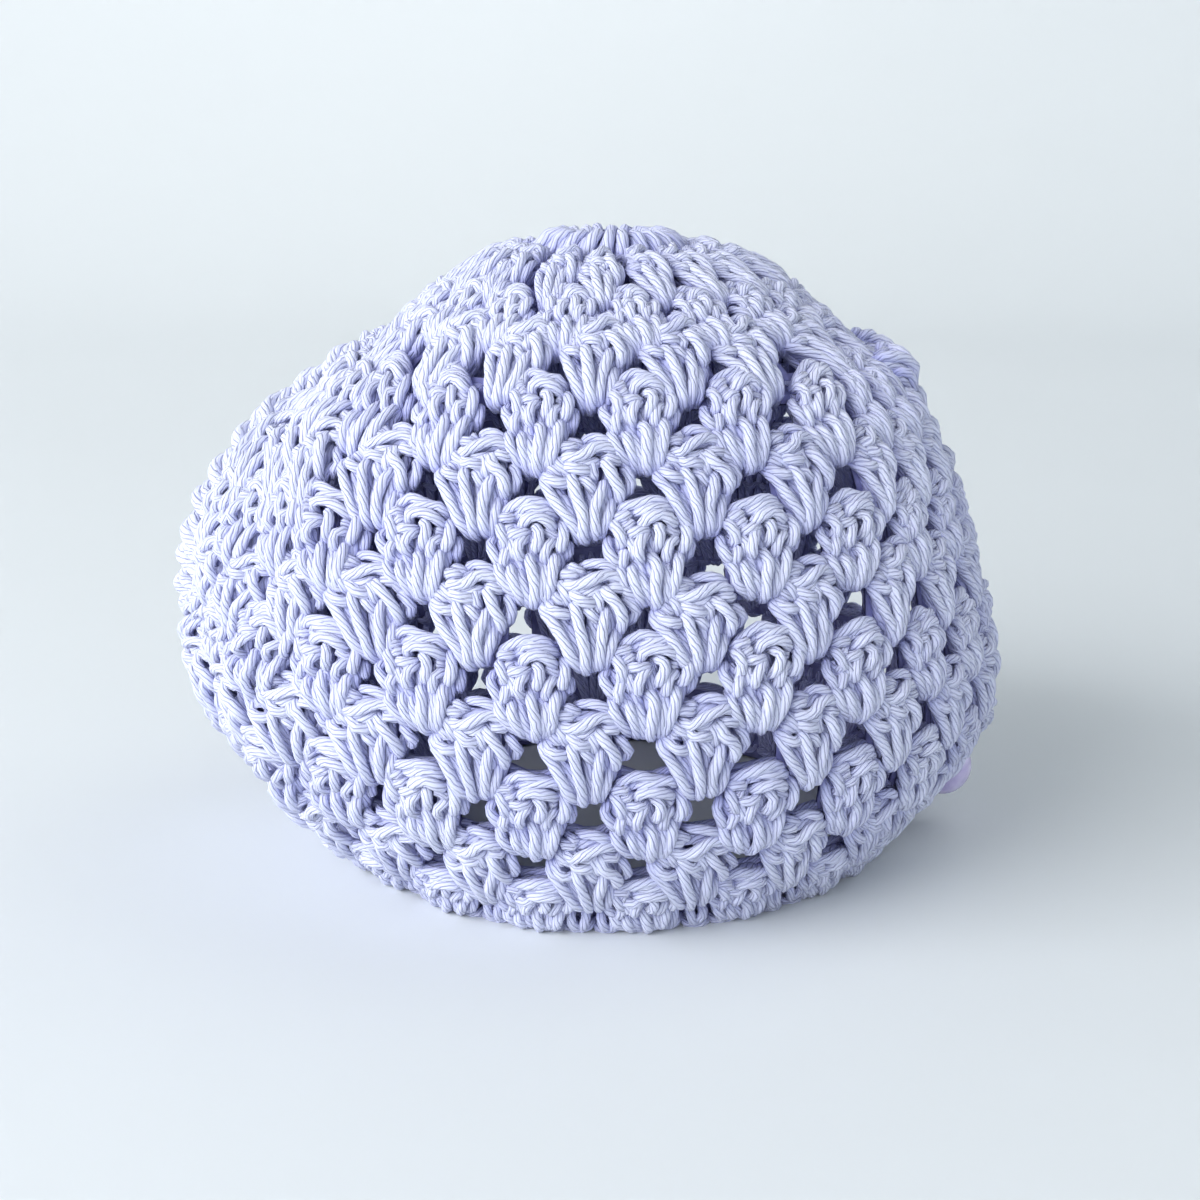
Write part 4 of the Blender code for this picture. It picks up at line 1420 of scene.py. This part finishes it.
        def place(column: Points, line: Points) -> Points:
            """Points of the sheet.

            Args:
                column: Number of each point across, from the spout's edge.
                line: Its number up.

            Returns:
                The points, in millimetres.
            """
            height = lines[line]
            inner = np.clip(column - self.left_cells, 0, len(columns) - 1)
            arc = grid.arc(columns[inner], height)
            left = edges.spout(height) + self.sheet_inset
            right = edges.handle(height) - self.sheet_inset
            arc = np.where(column < self.left_cells, left + (arc - left) * column / self.left_cells, arc)
            beyond = np.maximum(column - self.left_cells - len(columns) + 1, 0)
            arc = np.where(beyond > 0, arc + (right - arc) * beyond / self.right_cells, arc)
            lift = self.sheet_lift + self.sheet_pleats * grid.pleats(arc, height)
            return self.wall.place(self.true_arc(arc, height), height, lift)[0]

        def is_gap(column: int, line: int) -> bool:
            """Whether a cell of the sheet is a gap.

            Args:
                column: Number of the cell's left side.
                line: Number of its foot.

            Returns:
                True for a gap.
            """
            inner = column - self.left_cells
            if line < 2 or line % 2 or inner < 2 or inner % 2 or inner + 1 >= len(columns):
                return False
            middle = round((columns[inner] + columns[inner + 1]) / 2)
            return grid.is_gap(grid.rows[line // 2 - 1], middle)

        cells = self.left_cells + len(columns) - 1 + self.right_cells
        bm = cloth_sheet(cells, len(lines) - 1, is_gap, place)
        # the sheet's dark colour is painted shade between the stitches
        return sheet_piece(f"{self.side.value}_cloth", bm, self.ground, self.sheet_thickness)

    def build(self) -> list[bpy.types.Object]:
        """Make the half and tell the frame what it stands for.

        Returns:
            Its pieces.
        """
        cloth = self.cloth()
        yarns = [self.clusters("lower", self.lower_rows, self.seed + 1),
                 self.clusters("upper", self.upper_rows, self.seed + 2),
                 self.hem(), self.edging(), self.band()]
        word = self.side.value
        for piece in (cloth, *yarns):
            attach(piece, BODY)
        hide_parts(f"{word}_panel")
        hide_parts(f"spout_edging_{word}")
        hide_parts(f"handle_band_{word}")
        return [cloth, *yarns]


@dataclass
class Crown:
    """The rounds of clusters above the openings."""

    wall: Wall
    grid: PanelGrid
    yarn: bpy.types.Material
    ground: bpy.types.Material
    seed: int = 70
    foot: float = 99.7
    clusters: int = 18
    turn: float = 0.55
    gap_height: float = 4.4
    closed_gap: int = 4                 # the gap over the handle's slit
    width: float = 1.08
    sway: float = 0.035                 # of a cluster's place, as a share of the pitch
    lean: float = 6.5                   # the most that a foot leans to the gap that it stands in
    top_gaps: range = range(-11, 9, 2)  # columns of those gaps in each panel
    uneven: float = 0.035               # spread of a cluster's measures, as a share of them
    low_foot: float = 97.2              # height at which the first round stands on the panels
    top_lap: float = 0.3                # how far the last round passes the wall's top
    # short stitches on the panels, over the handle's slit and in the back's gap that no cluster stands in,
    # as distances round the wall from the handle
    lintel: tuple[float, ...] = (-12.0, -7.2, -2.4, 2.4, 7.2, 12.0, 50.2, 54.6, 59.0)
    lintel_drop: float = 2.2            # from the crown's foot to theirs
    lintel_height: float = 0.8          # factor on their height
    slim: tuple[float, ...] = (1.0, 0.95, 0.88)
    collar_climb: float = 2.8           # how far the last round rises against the collar
    collar_curve: float = 1.5           # power of that rise along the cluster
    sheet_gap: float = 0.22             # half the width of a gap in the sheet, as a share of the pitch
    sheet_drop: float = 0.75            # from a gap's middle down to the sheet's edge, in gap heights
    sheet_rise: float = 0.55            # and up
    sheet_lift: float = -0.5
    sheet_thickness: float = 1.0
    flat: tuple[float, float] = (0.112, 0.112)
    flat_area: float = 0.0089
    rows: tuple[Row, ...] = (
        Row(104.1, 0.0, 4.4, 0),
        Row(111.6, 0.0, 3.2, 1),
        Row(116.4, 0.0, 2.2, 0),
    )

    def foot_lean(self, arc: float) -> float:
        """Shift that takes a foot of the first round to the panels' nearest gap.

        Args:
            arc: Arc of the cluster's middle at the panels' top row of gaps.

        Returns:
            The shift, not more than the lean.
        """
        height = np.full(len(self.top_gaps), self.grid.rows[-1].height)
        gaps = self.grid.arc(np.array(self.top_gaps, dtype=float), height)
        round_length = float(self.wall.at(self.wall.round, height[0]))
        both = np.concatenate((gaps, self.wall.mirrored(gaps, height)))
        away = (both - arc + round_length / 2) % round_length - round_length / 2
        nearest = float(away[np.argmin(np.abs(away))])
        return float(np.clip(nearest, -self.lean, self.lean))

    def lay_round(self, loom: Loom, index: int, foot: float, top: float) -> None:
        """Lay one round of clusters.

        Args:
            loom: Piece that gets them.
            index: Number of the round, from below.
            foot: Distance up the wall at which they stand.
            top: Distance up the wall of their tops.
        """
        row = self.rows[index]
        stitch = RIGHT_SIDE if row.shift == 0 else WRONG_SIDE
        kinds = stitch.variants(self.seed + 2 + index, slim=self.slim[index])
        panel_pitch = float(self.wall.at(self.wall.round, self.grid.rows[-1].height)) / self.clusters
        for cell in range(self.clusters):
            template, (across, up, out) = loom.draw(kinds, self.uneven)
            height = self.wall.height_of(foot + up / stitch.height * (top - foot))
            height = np.minimum(height, self.wall.top)
            pitch = self.wall.at(self.wall.round, height) / self.clusters
            middle = cell + 0.5 + row.shift / 2 + self.turn + loom.random.normal(0.0, self.sway)
            arc = (middle + across * self.width / self.grid.pitch) * pitch
            if index == 0:
                arc += self.foot_lean(middle * panel_pitch) * np.clip(1 - up / stitch.height, 0.0, 1.0)
            points, axes = self.wall.place(arc, height, out * self.slim[index])
            if index == len(self.rows) - 1:
                share = np.clip(up / stitch.height, 0.0, 1.0)
                points[:, 2] += self.collar_climb * share ** self.collar_curve
            loom.lay(template, points, axes)

    def stitches(self) -> bpy.types.Object:
        """Make the rounds of clusters and the short stitches under them.

        Returns:
            The piece.
        """
        loom = Loom("crown_clusters", self.seed + 1)
        distance, rise = self.wall.distance, self.gap_height / 2
        feet = [distance(self.low_foot)] + [distance(row.height) + rise for row in self.rows[:-1]]
        tops = [distance(row.height) - rise for row in self.rows[1:]]
        tops += [distance(self.wall.top) + self.top_lap]
        for index, (foot, top) in enumerate(zip(feet, tops)):
            self.lay_round(loom, index, foot, top)
        kinds = HEM_STITCH.variants(self.seed + 6)
        for index, offset in enumerate(self.lintel):
            template = kinds[index % len(kinds)]
            across, up, out = template.centres.T
            height = self.foot - self.lintel_drop + up * self.lintel_height
            arc = self.wall.at(self.wall.to_handle, height) + offset + across
            loom.lay(template, *self.wall.place(arc, height, out))
        return loom.piece(self.yarn)

    def cloth(self) -> bpy.types.Object:
        """Make the thin sheet behind the rounds.

        Returns:
            The piece.
        """
        parts = np.array([cell / 2 + part for cell in range(2 * self.clusters)
                          for part in (-self.sheet_gap, self.sheet_gap)])
        columns = np.append(parts, parts[0] + self.clusters)
        heights = [self.foot]
        for row in self.rows:
            climb = self.wall.climb(row.height)
            heights += [row.height - self.sheet_drop * self.gap_height * climb,
                        row.height + self.sheet_rise * self.gap_height * climb]
        lines = np.array(heights[:-1] + [self.wall.top])

        def place(column: Points, line: Points) -> Points:
            """Points of the sheet.

            Args:
                column: Number of each point round the crown.
                line: Its number up.

            Returns:
                The points, in millimetres.
            """
            pitch = self.wall.at(self.wall.round, lines[line]) / self.clusters
            arc = (columns[column] + self.turn) * pitch
            return self.wall.place(arc, lines[line], np.full(len(arc), self.sheet_lift))[0]

        def is_gap(column: int, line: int) -> bool:
            """Whether a cell is a gap: every fourth one of the first round, but the closed one."""
            return line == 1 and column % 4 == 0 and column // 4 != self.closed_gap

        bm = cloth_sheet(len(columns) - 1, len(lines) - 1, is_gap, place)
        # the sheet's dark colour is painted shade between the stitches
        return sheet_piece("crown_cloth", bm, self.ground, self.sheet_thickness)

    def build(self) -> list[bpy.types.Object]:
        """Make the crown and tell the frame what it stands for.

        Returns:
            Its pieces.
        """
        cloth, yarn = self.cloth(), self.stitches()
        for piece in (cloth, yarn):
            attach(piece, BODY)
        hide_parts("crown")
        return [cloth, yarn]


@dataclass
class Collar:
    """The ring of short stitches round the hole in the top."""

    yarn: bpy.types.Material
    seed: int = 80
    centre: Place = (3.6, 0.0, 121.4)
    radius: float = 13.1
    roll: float = 3.3                   # half its width
    stand: float = 4.1                  # half its height
    stitches: int = 24
    core_sides: int = 10
    start: float = -65.0                # degrees round the roll at which a stitch begins
    depth: float = 1.5                  # of the yarn's middle under the collar's surface
    lean: float = 0.6                   # how far the roll slopes in towards its top
    wander: float = 0.15                # how far a strand's points stray from variant to variant
    stray: float = 0.55                 # spread of the stitches' places round the hole
    uneven: float = 0.08                # spread of their measures, as a share of them
    slant: float = 0.07                 # spread of their slant
    slant_middle: float = 6.0           # place over the roll about which they slant

    def place(self, across: Points, over: Points, lift: Points) -> tuple[Points, Points]:
        """Places and directions on the roll.

        Args:
            across: Distance round the hole.
            over: Distance over the roll, from the outer foot towards the hole.
            lift: Distance out of the roll.

        Returns:
            The points and the directions there.
        """
        angle = across / self.radius
        tilt = math.radians(self.start) + over / ((self.roll + self.stand) / 2 - self.depth)
        flat = np.zeros_like(angle)
        radial = np.stack((np.sin(angle), -np.cos(angle), flat), axis=1)
        along = np.stack((np.cos(angle), np.sin(angle), flat), axis=1)
        rise = np.array((0.0, 0.0, 1.0))
        wide, high = self.roll - self.depth + lift, self.stand - self.depth + lift
        climb = high * np.sin(tilt)
        reach = self.radius + wide * np.cos(tilt) - self.lean * climb
        points = np.array(self.centre) + radial * reach[:, None] + rise * climb[:, None]
        out = radial * np.cos(tilt)[:, None] + rise * np.sin(tilt)[:, None]
        return points, np.stack((along, np.cross(out, along), out), axis=1)

    def wrapping(self) -> bpy.types.Object:
        """Make the yarn over the roll.

        Returns:
            The piece.
        """
        loom = Loom("collar_stitches", self.seed + 1)
        kinds = COLLAR_STITCH.variants(self.seed + 2, wander=self.wander)
        pitch = 2 * math.pi * self.radius / self.stitches
        for index in range(self.stitches):
            template, (across, over, out) = loom.draw(kinds, self.uneven)
            across = across + loom.random.normal(0.0, self.stray)
            across = across + loom.random.normal(0.0, self.slant) * (over - self.slant_middle)
            loom.lay(template, *self.place(across + index * pitch, over, out))
        return loom.piece(self.yarn)

    def core(self) -> bpy.types.Object:
        """Make the smooth ring inside the stitches.

        Returns:
            The piece.
        """
        bm = bmesh.new()
        bmesh.ops.create_circle(bm, segments=self.core_sides, radius=1.0)
        scale = Matrix.Diagonal((self.roll - self.depth, self.stand - self.depth, 1.0, 1.0))
        lean = Matrix.Identity(4)
        lean[0][2] = -self.lean
        outwards = Matrix.Translation((self.radius, 0.0, 0.0))
        stand_up = outwards @ lean @ Matrix.Rotation(math.pi / 2, 4, "X") @ scale
        bmesh.ops.transform(bm, matrix=stand_up, verts=bm.verts)
        turn_round(bm, bm.edges[:], 2 * self.stitches, MERGE)
        bmesh.ops.translate(bm, vec=self.centre, verts=bm.verts)
        return solid_piece("collar_core", bm, self.yarn)

    def build(self) -> list[bpy.types.Object]:
        """Make the collar and tell the frame what it stands for.

        Returns:
            Its pieces.
        """
        pieces = [self.core(), self.wrapping()]
        for piece in pieces:
            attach(piece, BODY)
        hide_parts("top_collar")
        return pieces


@dataclass
class Button:
    """The domed button under the handle and the thread that holds it."""

    wall: Wall
    pearl: bpy.types.Material
    cotton: bpy.types.Material
    seed: int = 90
    radius: float = 6.0
    dome: float = 5.2
    back: float = 1.8
    height: float = 16.5
    stand: float = 1.5
    seam: float = 0.4
    cloth_face: float = 3.1             # from the wall's middle to the shank's foot
    front_angles: range = range(9, 90, 9)
    back_angles: tuple[int, ...] = (104, 120, 140, 162)
    sides: int = 48
    shank_radius: float = 1.3
    shank_taper: float = 0.1            # by which it is drawn in between its ends
    shank_turns: int = 4
    shank_points: int = 60
    shank_ends: Span = (0.9, 0.5)       # how far it reaches into the cloth and into the button
    thread: float = 1.1

    def frame(self) -> Matrix:
        """Frame of the button on the wall.

        Returns:
            Its matrix: the foot of the shank is its origin, and its Z leads out of the wall.
        """
        arc = self.wall.at(self.wall.to_handle, np.array([self.height]))
        points, axes = self.wall.place(arc, np.array([self.height]), np.array([self.cloth_face]))
        out = Vector(axes[0, 2])
        return Matrix.Translation(Vector(points[0])) @ out.to_track_quat("Z", "Y").to_matrix().to_4x4()

    def domed(self) -> bpy.types.Object:
        """Make the button, spun from its half outline.

        Returns:
            The piece.
        """
        outline = [(0.0, self.dome)]
        for angles, depth in ((self.front_angles, self.dome), ((90,), 0.0), (self.back_angles, self.back)):
            outline += [(self.radius * math.sin(t), depth * math.cos(t)) for t in np.radians(angles)]
        outline += [(0.0, -self.back)]
        bm = turned_shape(outline, self.sides, MERGE)
        rise = self.stand + self.seam + self.back
        bmesh.ops.transform(bm, matrix=self.frame() @ Matrix.Translation((0, 0, rise)), verts=bm.verts)
        return solid_piece("pearl_button", bm, self.pearl)

    def shank(self) -> bpy.types.Object:
        """Make the thread wound into a neck under the button.

        Returns:
            The piece.
        """
        turns = np.linspace(0.0, self.shank_turns * 2 * math.pi, self.shank_points)
        reach = self.shank_radius - self.shank_taper * np.sin(turns / self.shank_turns)
        below, above = self.shank_ends
        rise = np.linspace(-below, self.stand + above, len(turns))
        route = tuple(zip(reach * np.cos(turns), reach * np.sin(turns), rise))
        template = YARN.roll(Strand(route, self.thread))
        matrix = np.array(self.frame())
        middles = template.centres @ matrix[:3, :3].T + matrix[:3, 3]
        axes = np.broadcast_to(matrix[:3, :3].T, (len(middles), 3, 3))
        loom = Loom("button_thread", self.seed + 1)
        loom.lay(template, middles, axes)
        return loom.piece(self.cotton)

    def build(self) -> list[bpy.types.Object]:
        """Make the button and tell the frame what it stands for.

        Returns:
            Its pieces.
        """
        button, shank = self.domed(), self.shank()
        for piece in (button, shank):
            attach(piece, BODY)
        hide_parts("button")
        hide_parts("button_shank")
        return [button, shank]


@dataclass
class Studio:
    """Pale bowl-shaped floor, soft lights and the camera of the photograph."""

    floor: bpy.types.Material
    floor_radius: float = 1.7
    floor_bend: float = 0.7
    floor_sides: int = 96
    floor_merge: float = 1e-5
    wall_height: float = 2.4
    camera_place: Place = (0.0016, -0.368, 0.144)
    pitch: float = 14.4                 # degrees by which the camera looks down
    lens: float = 54.0
    sensor: float = 36.0
    room: Color = (0.90, 0.94, 1.0, 1.0)
    room_light: float = 0.05

    def bowl(self) -> None:
        """Make the floor, which rises round the scene without an edge."""
        bend, flat = self.floor_bend, self.floor_radius - self.floor_bend
        outline = [(0.0, 0.0), (0.3, 0.0), (0.6, 0.0), (flat, 0.0)]
        outline += [(flat + bend * math.sin(t), bend - bend * math.cos(t))
                    for t in np.radians(range(6, 91, 6))]
        outline += [(self.floor_radius, self.wall_height)]
        floor = add_shape("floor", turned_shape(outline, self.floor_sides, self.floor_merge), self.floor)

    def light(self, name: str, place: Place, size: float, power: float, color: Place,
              target: Place = (0.0, 0.0, 0.06)) -> None:
        """Add a square area light.

        Args:
            name: Its name.
            place: Where it hangs.
            size: Length of its sides.
            power: Its power in watts.
            color: Its colour.
            target: The point that it faces.
        """
        data = bpy.data.lights.new(name, "AREA")
        data.size = size
        data.energy = power
        data.color = color
        made = bpy.data.objects.new(name, data)
        made.location = place
        made.rotation_euler = (Vector(target) - Vector(place)).to_track_quat("-Z", "Y").to_euler()
        bpy.context.scene.collection.objects.link(made)

    def build(self) -> None:
        """Make floor, lights and camera."""
        scene = bpy.context.scene
        self.bowl()
        self.light("key", (-1.15, -0.8, 0.6), 1.5, 41.5, (0.985, 0.99, 1.0))
        self.light("side", (-1.2, 0.0, 0.25), 0.8, 4.5, (0.98, 0.99, 1.0))
        self.light("front", (-0.2, -1.3, 0.4), 1.0, 3.5, (0.97, 0.98, 1.0))
        self.light("lift", (0.8, 0.3, 1.2), 1.0, 4.0, (0.96, 0.98, 1.0), (0.35, -0.1, 0.0))
        self.light("backdrop", (-0.3, 0.9, 1.2), 0.8, 5.5, (1.0, 0.99, 0.98), (0.0, 2.2, 0.3))
        world = bpy.data.worlds.new("pale_room")
        world.use_nodes = True
        background = world.node_tree.nodes["Background"]
        background.inputs["Color"].default_value = self.room
        background.inputs["Strength"].default_value = self.room_light
        scene.world = world
        scene.view_settings.view_transform = "Standard"
        data = bpy.data.cameras.new("camera")
        data.lens = self.lens
        data.sensor_width = self.sensor
        camera = bpy.data.objects.new("camera", data)
        camera.location = self.camera_place
        camera.rotation_euler = (math.radians(90.0 - self.pitch), 0.0, 0.0)
        scene.collection.objects.link(camera)
        scene.camera = camera


def main() -> None:
    """Build the cosy and its studio."""
    logging.basicConfig(level=logging.INFO, format="%(name)s: %(message)s")
    yarn = CottonYarn().material()
    thread = CottonYarn(name="lilac_thread").material()
    ground = ClothGround().material()
    wall = Wall()
    grid = PanelGrid(wall, Edges(wall))
    makers = (
        Half(Side.FRONT, grid, yarn, ground, seed=20),
        Half(Side.BACK, grid, yarn, ground, seed=40),
        Crown(wall, grid, yarn, ground),
        Collar(yarn),
        Button(wall, PearlPlastic().material(), thread),
    )
    for maker in makers:
        for piece in maker.build():
            piece.data.calc_loop_triangles()
            log.info("%s: %d triangles", piece.name, len(piece.data.loop_triangles))
    Studio(Paper().material()).build()


if __name__ == "__main__":
    main()
